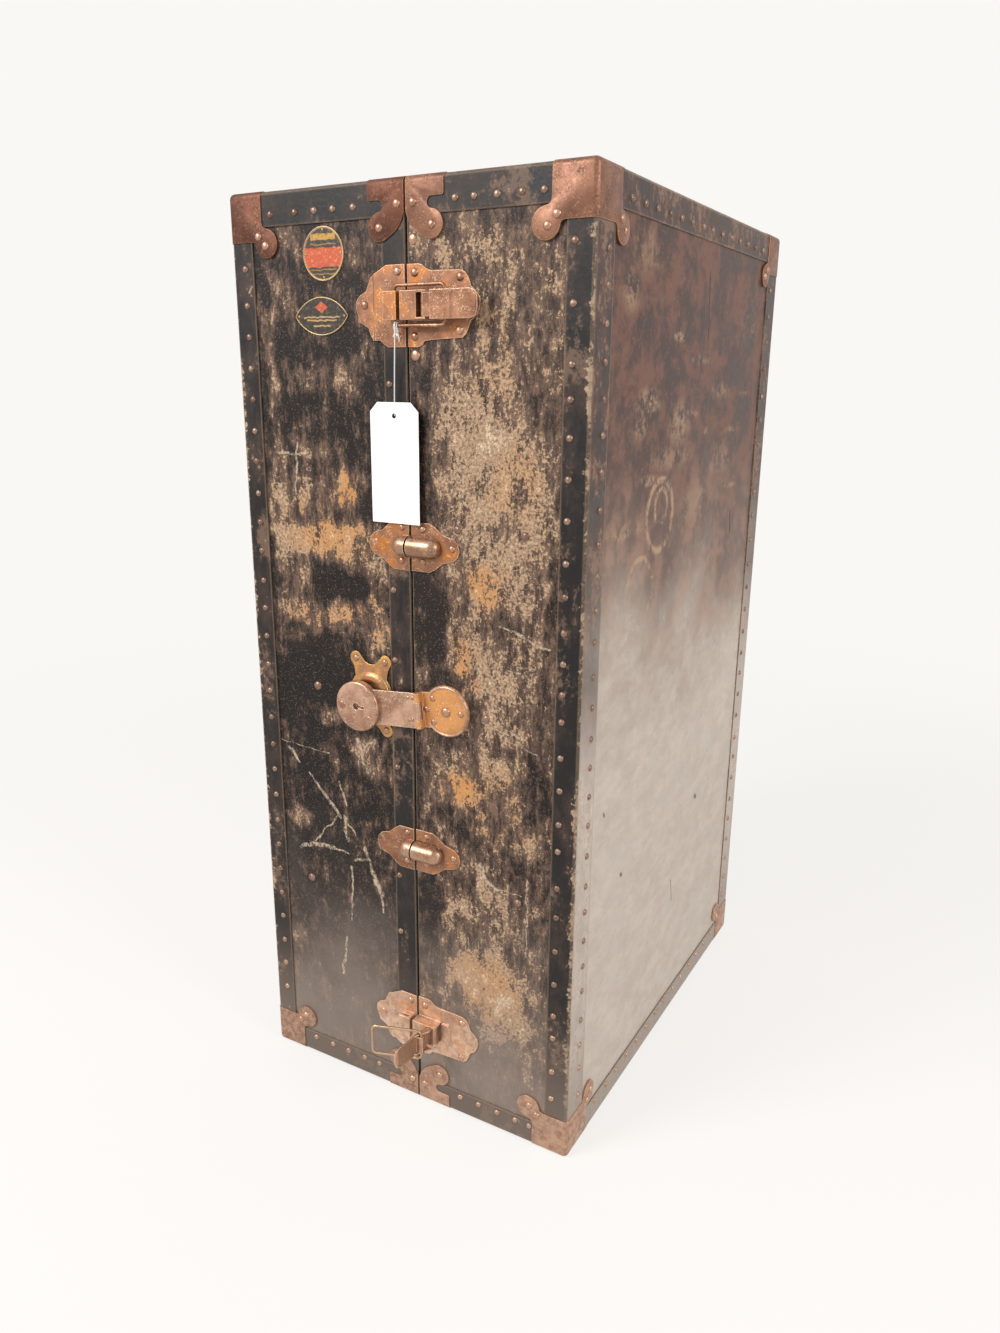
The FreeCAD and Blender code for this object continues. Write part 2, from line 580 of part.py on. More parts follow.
def lever_shape():
    """Lever closed: knuckle round its pin, ramp, cover with side flanges, tail, and the bail's eye."""
    tall, sheet = S.block_tall, S.lever_metal
    top = -S.lever_proud
    inner_half = tall / 2 - S.ear - S.moving_gap
    pivot_x, pivot_y, knuckle = S.pivot_out, -S.pivot_proud, S.lever_knuckle
    cover_x = pivot_x + 2 * knuckle
    step_x, tail_top = cover_x + S.lever_cover, top + sheet / 2
    end, half = S.lever_end, tall / 2
    barrel = prism(2 * inner_half, rolled(pivot_x, pivot_y, knuckle))
    ramp = prism(2 * inner_half, sharp([
        (pivot_x, pivot_y - knuckle), (cover_x + sheet, top), (cover_x + sheet, top + sheet),
        (pivot_x + sheet, pivot_y - knuckle + sheet), (pivot_x, pivot_y)]))
    cover = moved(prism(tall, sharp([
        (cover_x, top), (step_x, top), (step_x + 2 * sheet, tail_top), (end - 2 * sheet, tail_top),
        (end, top - sheet / 4), (end, top + sheet * 3 / 4), (end - 2 * sheet, tail_top + sheet),
        (step_x + 2 * sheet, tail_top + sheet), (step_x, top + sheet), (cover_x, top + sheet)])), 0, 0, -half)
    round_end = tall / 3
    plan = upright(prism(4 * tall, sharp([
        (cover_x, -half), (end - round_end, -half), (end - round_end / 4, round_end / 4 - half),
        (end, round_end - half), (end, half - round_end), (end - round_end / 4, half - round_end / 4),
        (end - round_end, half), (cover_x, half)])))
    cover = cover.common(moved(plan, 0, tall, 0))
    flange_low = pivot_y + 2 * sheet
    flange = face_of(sharp([
        (cover_x, top + sheet / 2), (cover_x, flange_low), (cover_x + 2 * sheet, flange_low),
        (step_x, top + sheet / 2)]))
    flanges = [moved(flange.extrude(V(0, 0, sheet)), 0, 0, low) for low in (-half, half - sheet)]
    eye_half = S.bail_wire + sheet
    eye_x, eye_y = S.bail_out, -S.bail_proud
    eye = prism(2 * inner_half, sharp([
        (eye_x - eye_half, top + sheet / 2), (eye_x + eye_half, top + sheet / 2), (eye_x + eye_half, eye_y),
        (eye_x + eye_half / 2, eye_y + eye_half), (eye_x - eye_half / 2, eye_y + eye_half),
        (eye_x - eye_half, eye_y)]))
    inner = [moved(piece, 0, 0, -inner_half) for piece in (barrel, ramp, eye)]
    lever = inner[0].fuse(inner[1:] + [cover] + flanges)
    bores = [Part.makeCylinder(radius + S.pin_play, tall, V(x, y, -tall / 2))
             for x, y, radius in ((pivot_x, pivot_y, S.lever_pin), (eye_x, eye_y, S.bail_wire))]
    return lever.cut(bores).removeSplitter()


def bail_shape():
    """Closed loop of wire lying flat between the eye and the catch, its corners bent in two steps."""
    far, near = S.bail_out - S.bail_long, S.bail_out
    half, corner = S.bail_tall / 2, S.bail_corner / 2
    corners = [(near, half - corner), (near - corner, half), (far + corner, half), (far, half - corner),
               (far, corner - half), (far + corner, -half), (near - corner, -half), (near, corner - half)]
    path = Part.Wire([edge.toShape() for edge in sharp(corners)]).rotated(V(0, 0, 0), V(1, 0, 0), 90)
    start, following = V(near, 0, corner - half), V(near, 0, half - corner)
    ring = Part.Wire([Part.Circle((start + following) / 2, following - start, S.bail_wire).toShape()])
    mitred = 1
    pipe = path.makePipeShell([ring], True, False, mitred)
    return moved(pipe, 0, -S.bail_proud, 0)


def hinged(name, shape, high, turns):
    """A latch piece at its height, turned about each (place, degrees) in order, opening outward."""
    for (x, proud), degrees in turns:
        shape = shape.rotated(V(x, -proud, 0), V(0, 0, -1), degrees)
    feature(name, moved(shape, seam, fitting_face, high))


def latches():
    """Upper latch closed on its catch; lower one swung open."""
    pivot = (S.pivot_out, S.pivot_proud)
    eye = (S.bail_out, S.bail_proud)
    heights = {"upper": upper_latch, "lower": lower_latch}
    for name, opened in (("upper", Size(0)), ("lower", S.lever_open)):
        hinged(f"{name}_lever", lever_shape(), heights[name], [(pivot, opened)])
        hinged(f"{name}_bail", bail_shape(), heights[name], [(eye, -S.bail_turn * opened), (pivot, opened)])
    group("latch_plates", [latch_plate(f"{name}_latch", high) for name, high in heights.items()])
    group("latch_catches", [catch_plate(name, high) for name, high in heights.items()])
    pins = []
    for name, high in heights.items():
        pin = doc.addObject("Part::Cylinder", f"{name}_lever_pin")
        bind(pin, "Radius", S.lever_pin)
        bind(pin, "Height", S.block_tall - 2 * S.ear)
        pins.append(place(pin, seam + S.pivot_out, fitting_face - S.pivot_proud,
                          high - S.block_tall / 2 + S.ear))
    group("latch_lever_pins", pins)


# ---------------------------------------------------------------- dowel fasteners

def capsule(radius, low, high):
    """Long dome lying along X, its ends rounded in two bevels, cut flat at Y = 0."""
    near, far = around(low + radius, 0, radius, 180, 90, 2), around(high - radius, 0, radius, 90, 0, 2)
    half_section = face_of(rounded_loop(near + far))
    return half_section.revolve(V(0, 0, 0), V(1, 0, 0), 180).rotated(V(0, 0, 0), V(1, 0, 0), 90)


# Outline of a dowel plate's half, as shares of its reach and half height.
DOWEL_PLATE = [
    (0, 1), (0.38, 1), (0.50, 0.86), (0.66, 0.58), (0.88, 0.45), (0.97, 0.26), (1, 0),
    (0.97, -0.26), (0.88, -0.45), (0.66, -0.58), (0.50, -0.86), (0.38, -1), (0, -1)]


def dowel_shape(sign):
    """Plate with half a dome. The right dome holds a tapered pin, the left one its socket."""
    half_gap, metal = S.seam_gap / 2, S.plate_metal
    reach = S.dowel_right if sign > 0 else S.dowel_left
    behind = Size(0) if sign < 0 else S.binding
    outline = scaled_outline(DOWEL_PLATE, half_gap, reach, S.dowel_half_tall)
    plate = upright(prism(metal, outline))
    if sign < 0:
        plate = plate.mirror(V(0, 0, 0), V(1, 0, 0))
    plate = moved(plate, 0, metal + behind, 0)
    radius = S.dome_radius
    dome = capsule(radius, -S.dome_left, S.dome_right)
    side_left = half_gap if sign > 0 else -half_gap - S.dome_right
    dome = dome.common(Part.makeBox(S.dome_right, radius, 2 * radius, V(side_left, -radius, -radius)))
    axis_y = -S.dowel_radius - 2 * S.dowel_play
    if sign > 0:
        foot_end, foot_half = S.dome_right - radius / 2, radius * 0.8
        foot = upright(prism(behind + metal, sharp([
            (half_gap, -foot_half), (foot_end, -foot_half), (foot_end, foot_half), (half_gap, foot_half)])))
        pin = Part.makeCone(S.dowel_radius, S.dowel_radius * 0.8, S.dowel_long + half_gap,
                            V(half_gap, axis_y, 0), V(-1, 0, 0))
        return dome.fuse([plate, moved(foot, 0, behind + metal / 2, 0), pin])
    bore = Part.makeCylinder(S.dowel_radius + S.dowel_play, S.dowel_long + half_gap,
                             V(-half_gap, axis_y, 0), V(-1, 0, 0))
    return dome.fuse(plate).cut(bore)


def dowels():
    heights = (S.case_height - S.upper_dowel_down, S.lower_dowel_up)
    for name, sign in (("dowel_pins", 1), ("dowel_sockets", -1)):
        shape = dowel_shape(sign)
        feature(name, Part.makeCompound([moved(shape, seam, fitting_face, high) for high in heights]))


# ---------------------------------------------------------------- lock and hasp

def lock_plate():
    """Four-lobed plate with concave sides, carrying a dished ring round the keeper hole."""
    wide, tall, lobe, waist = S.lock_half_wide, S.lock_half_tall, S.lock_lobe, S.lock_waist
    corners = []
    for x, z, start in ((1, 1, 0), (-1, 1, 90), (-1, -1, 180), (1, -1, 270)):
        corners += around(x * (wide - lobe), z * (tall - lobe), lobe, start - 10, start + 100, 5)
        waist_x, waist_z = (0, z * (tall - 2 * waist)) if start in (0, 180) else (x * (wide - waist), 0)
        corners.append((waist_x, waist_z, 0))
    plate = upright(prism(S.plate_metal, rounded_loop(corners)))
    base, inner = S.plate_metal, S.dish_radius - S.dish_wall
    wall = prism(S.dish_lip, many_sided(0, 0, S.dish_radius), many_sided(0, 0, inner))
    floor = prism(base + S.dish_floor, many_sided(0, 0, inner))
    hole = prism(base + S.dish_lip, circle_loop(0, 0, S.keeper_hole))
    dish, hole = (moved(upright(piece), 0, 0, S.dish_rise)
                  for piece in (moved(wall, 0, 0, base).fuse(floor), hole))
    whole = plate.fuse(dish).cut(hole)
    feature("lock_plate", moved(whole, seam - S.lock_out, board_front, half_height - S.lock_down))


def hasp_local(shape):
    """Hasp pieces are drawn level about the disc's centre, then drooped with it."""
    return moved(shape.rotated(V(0, 0, 0), V(0, 1, 0), -S.hasp_droop), seam + S.hasp_out, board_front,
                 half_height - S.hasp_down)


def hasp():
    """Anchor disc with two knuckles, pin, arm with the middle knuckle, and the round lock case."""
    disc, metal, barrel = S.hasp_disc, S.hasp_metal, S.hasp_barrel
    axis_y = -(metal + S.hasp_proud)
    knuckle_x = -S.hasp_hinge - barrel
    half = S.hasp_arm_tall / 2
    middle = half / 2
    gap, sheet = S.moving_gap, S.hasp_arm_metal
    roll = rolled(knuckle_x, axis_y, barrel)
    neck = upright(prism(metal, sharp([(-disc / 2, -half), (knuckle_x + barrel, -half),
                                       (knuckle_x + barrel, half), (-disc / 2, half)])))
    post = Part.makeBox(barrel, -axis_y, 2 * half, V(knuckle_x, axis_y, -half))
    anchor = upright(prism(metal, many_sided(0, 0, disc))).fuse(
        [neck, post, moved(prism(2 * half, roll), 0, 0, -half)])
    room = 2 * (barrel + gap)
    room = Part.makeBox(room, room, 2 * middle, V(knuckle_x - room / 2, axis_y - room / 2, -middle))
    bore = Part.makeCylinder(S.hasp_pin + S.pin_play, 2 * half, V(knuckle_x, axis_y, -half))
    feature("hasp_anchor", hasp_local(anchor.cut([room, bore])))
    feature("hasp_pin", hasp_local(Part.makeCylinder(S.hasp_pin, 2 * half, V(knuckle_x, axis_y, -half))))
    head_x, tab_half = -S.hasp_reach, middle - gap
    arm_right = knuckle_x - barrel - gap
    strap = prism(sheet, sharp([
        (head_x, -half), (arm_right, -half), (arm_right, -tab_half), (knuckle_x, -tab_half),
        (knuckle_x, tab_half), (arm_right, tab_half), (arm_right, half), (head_x, half)]))
    strap = strap.cut(moved(prism(2 * sheet, many_sided(head_x, 0, S.lock_radius)), 0, 0, -sheet / 2))
    arm_y = axis_y + sheet / 2
    knuckle = moved(prism(2 * tab_half, roll), 0, 0, -tab_half)
    arm = moved(upright(strap), 0, arm_y, 0).fuse(knuckle).cut(bore)
    feature("hasp_arm", hasp_local(arm))
    radius, thick, bevel = S.lock_radius, S.lock_thick, S.lock_bevel
    rings = [Part.Wire([edge.toShape() for edge in many_sided(0, 0, r)]).translated(V(0, 0, high))
             for r, high in ((radius, 0), (radius, thick - bevel), (radius - bevel, thick))]
    case = upright(Part.makeLoft(rings, True, True))
    case = case.cut(moved(keyhole(), 0, S.key_deep - thick, 0))
    stud = Part.makeCylinder(S.lock_stud, S.lock_stud_long, V(0, 0, 0), V(0, 1, 0))
    feature("lock_case", hasp_local(moved(case.fuse(stud), head_x, arm_y + 2 * gap, 0)))


def keyhole():
    """Blind keyhole cutter: a round hole with a slot to its right."""
    radius, slot, deep = S.key_radius, S.key_radius / 3, S.key_deep + 1
    hole = rounded_loop(around(0, 0, radius, 20, 340, 10) + [(S.key_slot, -slot, 0), (S.key_slot, slot, 0)])
    return upright(prism(deep, hole))


# ---------------------------------------------------------------- badges

def badges():
    """A round plate over a pointed oval one, both blank."""
    round_badge = sheet_body("round_badge", S.badge_metal, many_sided(0, 0, S.badge_round))
    place(round_badge, seam - S.round_badge_out, board_front, S.case_height - S.round_badge_down)
    half_wide, half_high = S.badge_wide / 2, S.badge_high / 2
    radius = (half_wide * half_wide + half_high * half_high) / (2 * half_high)
    turn = math.degrees(math.asin(half_wide / radius))
    upper = around(0, half_high - radius, radius, 90 + turn, 90 - turn, 12)
    lower = around(0, radius - half_high, radius, 270 + turn, 270 - turn, 12)
    oval_badge = sheet_body("oval_badge", S.badge_metal, rounded_loop(upper[:-1] + lower[:-1]))
    place(oval_badge, seam - S.oval_badge_out, board_front, S.case_height - S.oval_badge_down)
    group("badge_plates", [round_badge, oval_badge])


# ---------------------------------------------------------------- inside the right half: drawers

def drawer_levels():
    """Low and high place of each drawer, from the bottom up: a deep one and three equal ones."""
    low = inner_low + S.runner_high + S.moving_gap
    room = shelf_low() - S.drawer_gap / 2 - low - S.deep_drawer - 3 * S.drawer_gap
    levels = []
    for tall in (S.deep_drawer, room / 3, room / 3, room / 3):
        levels.append((low, low + tall))
        low = low + tall + S.drawer_gap
    return levels


def shelf_low():
    """The shelf over the drawers leaves the hat space under the top."""
    return inner_top - S.hat_space - S.board


def drawers():
    """Open trays behind boarded fronts that face the seam, each with a leather tab to pull."""
    back_wall = right_out - skin - S.board - S.lining
    front_x = seam + S.seam_gap / 2 + S.rim + S.tongue - S.drawer_gap / 2
    sides = (inner_front + S.drawer_play, inner_back - S.drawer_play)
    for number, (low, high) in enumerate(drawer_levels(), 1):
        name = f"drawer_{number}"
        tray_x = (front_x + S.drawer_front, back_wall - S.drawer_play)
        block = box(f"{name}_block", tray_x, sides, (low, high - S.drawer_side))
        wall = S.drawer_side
        hollow = box(f"{name}_hollow", (tray_x[0] + wall, tray_x[1] - wall),
                     (sides[0] + wall, sides[1] - wall), (low + wall, high))
        cut(f"{name}_tray", block, hollow)
        face = box(f"{name}_board", (front_x, front_x + S.drawer_front), sides, (low, high))
        middle = (low + high) / 2
        pull = box(f"{name}_pull", (front_x - S.pull_leather, front_x), (-S.pull_wide / 2, S.pull_wide / 2),
                   (middle - S.pull_high / 2, middle + S.pull_high / 2))
        group(f"{name}_front", [face, pull])


def drawer_rack():
    """Runner strips under both ends of each drawer, and the shelf over the stack."""
    start = seam + S.seam_gap / 2 + S.rim + S.tongue + S.drawer_play
    across = (start, right_out - skin - S.board - S.lining)
    strips = []
    for number, (low, _) in enumerate(drawer_levels(), 1):
        high = (low - S.moving_gap - S.runner_high, low - S.moving_gap)
        strips.append(box(f"runner_{number}_front", across, (inner_front, inner_front + S.runner), high))
        strips.append(box(f"runner_{number}_back", across, (inner_back - S.runner, inner_back), high))
    group("drawer_runners", strips)
    box("drawer_shelf", across, (inner_front, inner_back), (shelf_low(), shelf_low() + S.board))


# ---------------------------------------------------------------- inside the left half: hanger trolley

def rail_shape(side):
    """One channel rail under the top lining, its lip turned to the middle."""
    length = seam - S.seam_gap / 2 - S.rim - S.drawer_play - (left_out + skin + S.board + S.lining)
    start = left_out + skin + S.board + S.lining
    outer, low = S.rail_apart, inner_top - S.rail_drop
    web = Part.makeBox(length, S.rail_metal, S.rail_drop, V(start, outer - S.rail_metal, low))
    lip = Part.makeBox(length, S.rail_lip, S.rail_metal, V(start, outer - S.rail_lip, low))
    rail = web.fuse(lip)
    return rail if side > 0 else rail.mirror(V(0, 0, 0), V(0, 1, 0))


def trolley():
    """Sliding frame on the rails with a rod for the hangers, and a plate at each end."""
    feature("trolley_rails", Part.makeCompound([rail_shape(1), rail_shape(-1)]))
    gap = S.moving_gap
    start = left_out + skin + S.board + S.lining + S.drawer_play
    end = seam - S.seam_gap / 2 - S.rim - S.drawer_play
    low = inner_top - S.rail_drop + S.rail_metal + gap
    high = inner_top - S.drawer_play
    outer = S.rail_apart - S.rail_metal - gap
    pieces = [box("slider_front", (start, end), (-outer, -outer + S.rail_lip), (low, high)),
              box("slider_back", (start, end), (outer - S.rail_lip, outer), (low, high))]
    neck = S.rail_apart - S.rail_lip - 2 * gap
    plate = S.trolley_plate
    rod_high = inner_top - S.rod_drop
    plate_low = rod_high - 2 * S.rod_radius
    for name, x in (("inner", start), ("outer", end - plate)):
        pieces.append(box(f"trolley_{name}_bridge", (x, x + plate), (-outer, outer), (low, high)))
        pieces.append(box(f"trolley_{name}_plate", (x, x + plate), (-neck, neck), (plate_low, high)))
    fuse("trolley_frame", pieces)
    rod = doc.addObject("Part::Cylinder", "hanger_rod")
    bind(rod, "Radius", S.rod_radius)
    bind(rod, "Height", end - start - 2 * plate)
    rod.Placement.Rotation = FreeCAD.Rotation(V(0, 1, 0), 90)
    place(rod, start + plate, Size(0), rod_high)
    hanger = hanger_shape()
    middle = (start + end) / 2
    count = int(S.hangers)
    first = middle - S.hanger_pitch * (count - 1) / 2
    feature("hangers", Part.makeCompound([
        moved(hanger, first + number * S.hanger_pitch, 0, rod_high) for number in range(count)]))


def hanger_shape():
    """Wooden hanger in the YZ plane, a shallow bow with an eye round the rod."""
    half, thick, deep, drop = S.hanger_wide / 2, S.hanger_thick, S.hanger_deep, S.hanger_drop
    eye = S.rod_radius + S.hanger_eye
    shares = [(0, 0), (0.2, 0.06), (0.45, 0.28), (0.75, 0.62), (1, 1)]
    over = [(half * y, -eye - drop * z) for y, z in shares]
    under = [(half * y, -eye - deep * (1 + (1 - y) * 0.8) - drop * z) for y, z in reversed(shares)]
    right_side = over[1:] + under[:-1]
    left_side = [(-y, z) for y, z in reversed(right_side)]
    bow = sharp([over[0]] + right_side + [under[-1]] + left_side)
    ring = rolled(0, 0, eye)
    neck = sharp([(-eye / 2, -eye - deep), (eye / 2, -eye - deep), (eye / 2, 0), (-eye / 2, 0)])
    bore = moved(prism(2 * thick, circle_loop(0, 0, S.rod_radius + S.pin_play)), 0, 0, -thick / 2)
    shape = prism(thick, bow).fuse([prism(thick, ring), prism(thick, neck)]).cut(bore).removeSplitter()
    return moved(shape.rotated(V(0, 0, 0), V(1, 1, 1), 120), -thick / 2, 0, 0)


# ---------------------------------------------------------------- carrying handle on the top

def handle():
    """Leather strap arched between two metal loops on the left half's top."""
    middle = (left_out + seam) / 2
    base = board_top
    bar, post, wide = S.handle_bar, S.handle_post, S.handle_wide
    bar_high = base + S.plate_metal + 3 * bar
    half, rise, thick = S.handle_long / 2, S.handle_rise, S.handle_thick
    radius = (half * half + rise * rise) / (2 * rise)
    turn = math.degrees(math.asin(half / radius))
    over = around(0, rise - radius, radius + thick / 2, 90 - turn, 90 + turn, 10)
    under = around(0, rise - radius, radius - thick / 2, 90 + turn, 90 - turn, 10)
    left_end = around(-half, 0, thick / 2, 90 + turn, 270 + turn, 4)
    right_end = around(half, 0, thick / 2, 270 - turn, 450 - turn, 4)
    outline = rounded_loop(over[:-1] + left_end[:-1] + under[:-1] + right_end[:-1])
    bores = [circle_loop(y, 0, bar + S.pin_play) for y in (-half, half)]
    strap = prism(wide, outline, *bores).rotated(V(0, 0, 0), V(1, 1, 1), 120)
    feature("carry_handle", moved(strap, middle - wide / 2, 0, bar_high))
    loops = []
    left = middle - wide / 2 - 2 * S.moving_gap - post
    right = middle + wide / 2 + 2 * S.moving_gap
    for y in (-half, half):
        plate = Part.makeBox(wide + 2 * S.handle_margin, S.handle_foot, S.plate_metal,
                             V(middle - wide / 2 - S.handle_margin, y - S.handle_foot / 2, base))
        posts = [Part.makeBox(post, 3 * bar, 4 * bar, V(x, y - 1.5 * bar, base + S.plate_metal))
                 for x in (left, right)]
        rod = Part.makeCylinder(bar, right - left, V(left + post / 2, y, bar_high), V(1, 0, 0))
        loops.append(plate.fuse(posts + [rod]).removeSplitter())
    feature("handle_loops", Part.makeCompound(loops))


# ---------------------------------------------------------------- hang tag and its string

def cord_tube(points, radii, thickness):
    """Six-sided cord of a round one's section, along straight runs joined by tangent arcs.

    The radii belong to the inner points."""
    edges = []
    start = points[0]
    for i, radius in enumerate(radii, 1):
        point = points[i]
        back = (points[i - 1] - point).normalize()
        ahead = (points[i + 1] - point).normalize()
        half = back.getAngle(ahead) / 2
        reach = radius / math.tan(half)
        enter, leave = point + back * reach, point + ahead * reach
        middle = point + (back + ahead).normalize() * (radius / math.sin(half) - radius)
        if (enter - start).Length > 1e-6:
            edges.append(Part.makeLine(start, enter))
        edges.append(Part.Arc(enter, middle, leave).toShape())
        start = leave
    edges.append(Part.makeLine(start, points[-1]))
    path = Part.Wire(edges)
    along = edges[0].tangentAt(edges[0].FirstParameter)
    corner = thickness * math.sqrt(2 * math.pi / (3 * math.sqrt(3)))
    hexagon = Part.Wire([edge.toShape() for edge in rounded_loop(around(0, 0, corner, 0, 360, 6)[:-1])])
    hexagon.Placement = FreeCAD.Placement(points[0], FreeCAD.Rotation(V(0, 0, 1), along))
    tube = path.makePipeShell([hexagon], True, False)
    expected = math.pi * thickness ** 2 * path.Length
    print(f"cord: length {path.Length:.1f}, radii {[round(float(r), 2) for r in radii]}, "
          f"volume {tube.Volume:.2f} of {expected:.2f}")
    return tube


def tag():
    """Blank card on a string that is looped round the lower left bend of the upper bail."""
    bend = math.radians(30)
    tie_x = seam + S.bail_out - S.bail_long + S.bail_corner * (1 - math.sin(bend))
    tie_high = upper_latch - S.bail_tall / 2 + S.bail_corner * (1 - math.cos(bend))
    wire_y = fitting_face - S.bail_proud
    card_y = fitting_face - S.tag_proud
    card_low = upper_latch - S.tag_down
    hole_x = seam - S.tag_hole_out
    half, clip, tall = S.tag_wide / 2, S.tag_clip, S.tag_tall
    hole_up = tall - S.tag_hole_down
    card = upright(prism(S.tag_card, sharp([
        (-half, 0), (half, 0), (half, tall - clip), (half - clip, tall), (clip - half, tall),
        (-half, tall - clip)]), circle_loop(0, hole_up, S.tag_hole)))
    feature("hang_tag", moved(card, hole_x, card_y, card_low))
    wrap = S.bail_wire + S.tag_string + S.tag_slack
    behind_card = card_y + S.moving_gap + S.tag_string
    points = [V(hole_x, behind_card, card_low + hole_up),
              V(hole_x, behind_card, card_low + tall + S.tag_knot / 2),
              V(tie_x, wire_y - wrap, tie_high - wrap), V(tie_x, wire_y - wrap, tie_high + wrap),
              V(tie_x, wire_y + wrap, tie_high + wrap), V(tie_x, wire_y + wrap, tie_high - S.tag_knot)]
    gentle = S.tag_knot
    feature("tag_string", cord_tube(points, [gentle, gentle, wrap * 0.98, wrap * 0.98], S.tag_string))


# ---------------------------------------------------------------- build everything

for side_name, (side_sign, side_out) in SIDES.items():
    half_boards(side_name, side_sign, side_out)
    half_lining(side_name, side_sign, side_out)
    half_bindings(side_name, side_sign, side_out)
    half_corner_caps(side_name, side_sign, side_out)
    half_seam_caps(side_name, side_sign)
seam_rims()
hinges()
latches()
dowels()
lock_plate()
hasp()
badges()
drawers()
drawer_rack()
trolley()
handle()
tag()
doc.recompute()

NODES = [f"{side}_{piece}" for side in SIDES for piece in (
    "side_panel", "front_panel", "back_panel", "top_panel", "bottom_panel", "lining", "seam_rim",
    "bindings", "corner_caps", "seam_caps", "hinge_leaves")]
NODES += ["hinge_pins", "latch_plates", "latch_lever_pins", "dowel_pins", "hasp_anchor", "hasp_pin",
          "drawer_runners", "drawer_shelf", "latch_catches", "dowel_sockets", "lock_plate", "badge_plates",
          "trolley_rails", "handle_loops", "carry_handle", "upper_lever", "upper_bail", "lower_lever",
          "lower_bail", "hasp_arm", "lock_case", "trolley_frame", "hanger_rod", "hangers", "seam_tongue",
          "tag_string", "hang_tag"]
NODES += [f"drawer_{number}_{piece}" for number in range(1, 5) for piece in ("tray", "front")]

failed = [item.Label for item in doc.Objects if {"Invalid", "Error"} & set(item.State)]
if failed:
    raise RuntimeError(f"these objects did not compute: {failed}")

os.makedirs("parts", exist_ok=True)
for node in NODES:
    item = doc.getObjectsByLabel(node)[0]
    if item.Shape.isNull() or not item.Shape.isValid() or not item.Shape.Solids:
        raise RuntimeError(f"{node} has no valid solid")
    item.Shape.exportStep(f"parts/{node}.step")
print(len(NODES), "nodes written")
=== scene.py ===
# %% [markdown]
# A wardrobe trunk stands on end: two fibre-covered cases hinged at the back and latched at the
# front. The solid model gives every panel, cap and latch its place, and this file gives them
# their look. The first cell opens the solid model as a fixed frame. Nothing in it is moved:
# finishes are laid on its parts, and new pieces are set on them, so all places come from it.

# %% Open the frame
import math
import bpy
from mathutils import Matrix, Vector


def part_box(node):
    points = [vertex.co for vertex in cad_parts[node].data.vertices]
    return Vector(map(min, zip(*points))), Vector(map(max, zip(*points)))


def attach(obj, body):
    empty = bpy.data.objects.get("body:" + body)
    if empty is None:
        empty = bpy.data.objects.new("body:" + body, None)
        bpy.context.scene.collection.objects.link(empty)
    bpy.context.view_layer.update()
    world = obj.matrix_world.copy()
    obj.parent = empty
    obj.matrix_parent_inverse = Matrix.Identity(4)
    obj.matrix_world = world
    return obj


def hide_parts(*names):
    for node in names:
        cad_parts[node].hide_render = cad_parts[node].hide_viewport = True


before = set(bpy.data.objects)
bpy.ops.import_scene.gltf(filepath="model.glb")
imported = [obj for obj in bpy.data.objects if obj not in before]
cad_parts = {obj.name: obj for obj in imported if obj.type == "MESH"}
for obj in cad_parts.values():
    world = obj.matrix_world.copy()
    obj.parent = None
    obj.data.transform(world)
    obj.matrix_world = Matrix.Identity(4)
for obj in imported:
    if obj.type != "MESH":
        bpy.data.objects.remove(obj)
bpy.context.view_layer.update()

SIGN = {"left": -1, "right": 1}
MM = 0.001


def put(name, data):
    """A camera, lamp, curve or mesh as an object in the scene."""
    made = bpy.data.objects.new(name, data)
    bpy.context.scene.collection.objects.link(made)
    return made


# %% [markdown]
# The camera comes first, because everything else is judged through it. It stands a little over
# a metre away, above and to the right of the front, and looks down. Its three axes are worked
# out from the compass angle, the downward tilt and a slight roll, instead of aiming at a point,
# so that each angle can be set by itself.

# %% Stand the camera
TURN, TILT, ROLL = math.radians(29.7376), math.radians(-16.3192), math.radians(0.5412)
PLACE = Vector((0.589, -1.1094, 0.8374))

ahead = Vector((-math.sin(TURN) * math.cos(TILT), math.cos(TURN) * math.cos(TILT), math.sin(TILT)))
level_right = ahead.cross(Vector((0, 0, 1))).normalized()
level_up = level_right.cross(ahead)
right = level_right * math.cos(ROLL) + level_up * math.sin(ROLL)
up = level_up * math.cos(ROLL) - level_right * math.sin(ROLL)

camera = put("camera", bpy.data.cameras.new("camera"))
camera.data.lens = 26.664
camera.data.sensor_width = 36
camera.data.clip_start = 0.02
camera.matrix_world = Matrix.Translation(PLACE) @ Matrix((right, up, -ahead)).transposed().to_4x4()
bpy.context.scene.camera = camera
print("camera looks along", [round(x, 3) for x in ahead])

# %% [markdown]
# A finish is a small machine of nodes. Wiring nodes one by one takes many lines, so one helper
# makes a node, sets it and joins its inputs. Colours are written as a screen shows them, and are
# turned into the light values that shaders work in.

# %% Make and join nodes
def plug(tree, socket, value):
    if isinstance(value, bpy.types.NodeSocket):
        tree.links.new(value, socket)
    else:
        socket.default_value = value


def step(tree, kind, inputs=None, **settings):
    """One node. An input is a plain value, or another node's output to join to it."""
    made = tree.nodes.new(kind)
    for name, value in settings.items():
        setattr(made, name, value)
    for name, value in (inputs or {}).items():
        plug(tree, made.inputs[name], value)
    return made


def tone(red, green, blue):
    """A colour named by its screen values, 0 to 255, as the light values that shaders use."""
    def light(value):
        value /= 255
        return value / 12.92 if value <= 0.04045 else ((value + 0.055) / 1.055) ** 2.4
    return (light(red), light(green), light(blue), 1)


print("mid grey as light:", round(tone(128, 128, 128)[0], 3))

# %% [markdown]
# All patterns are laid out in the trunk's own space, in metres, through Object coordinates.
# A pattern made that way rides along when a lid or drawer moves, needs no unwrapped surface,
# and keeps its true scale on every part. The helpers here are the usual moves of a finish: a
# mottle, a limit between two values, a sum or a product, and one tone blended over another.

# %% Mottle, limits and blends
def place_on_trunk(tree):
    return step(tree, "ShaderNodeTexCoord").outputs["Object"]


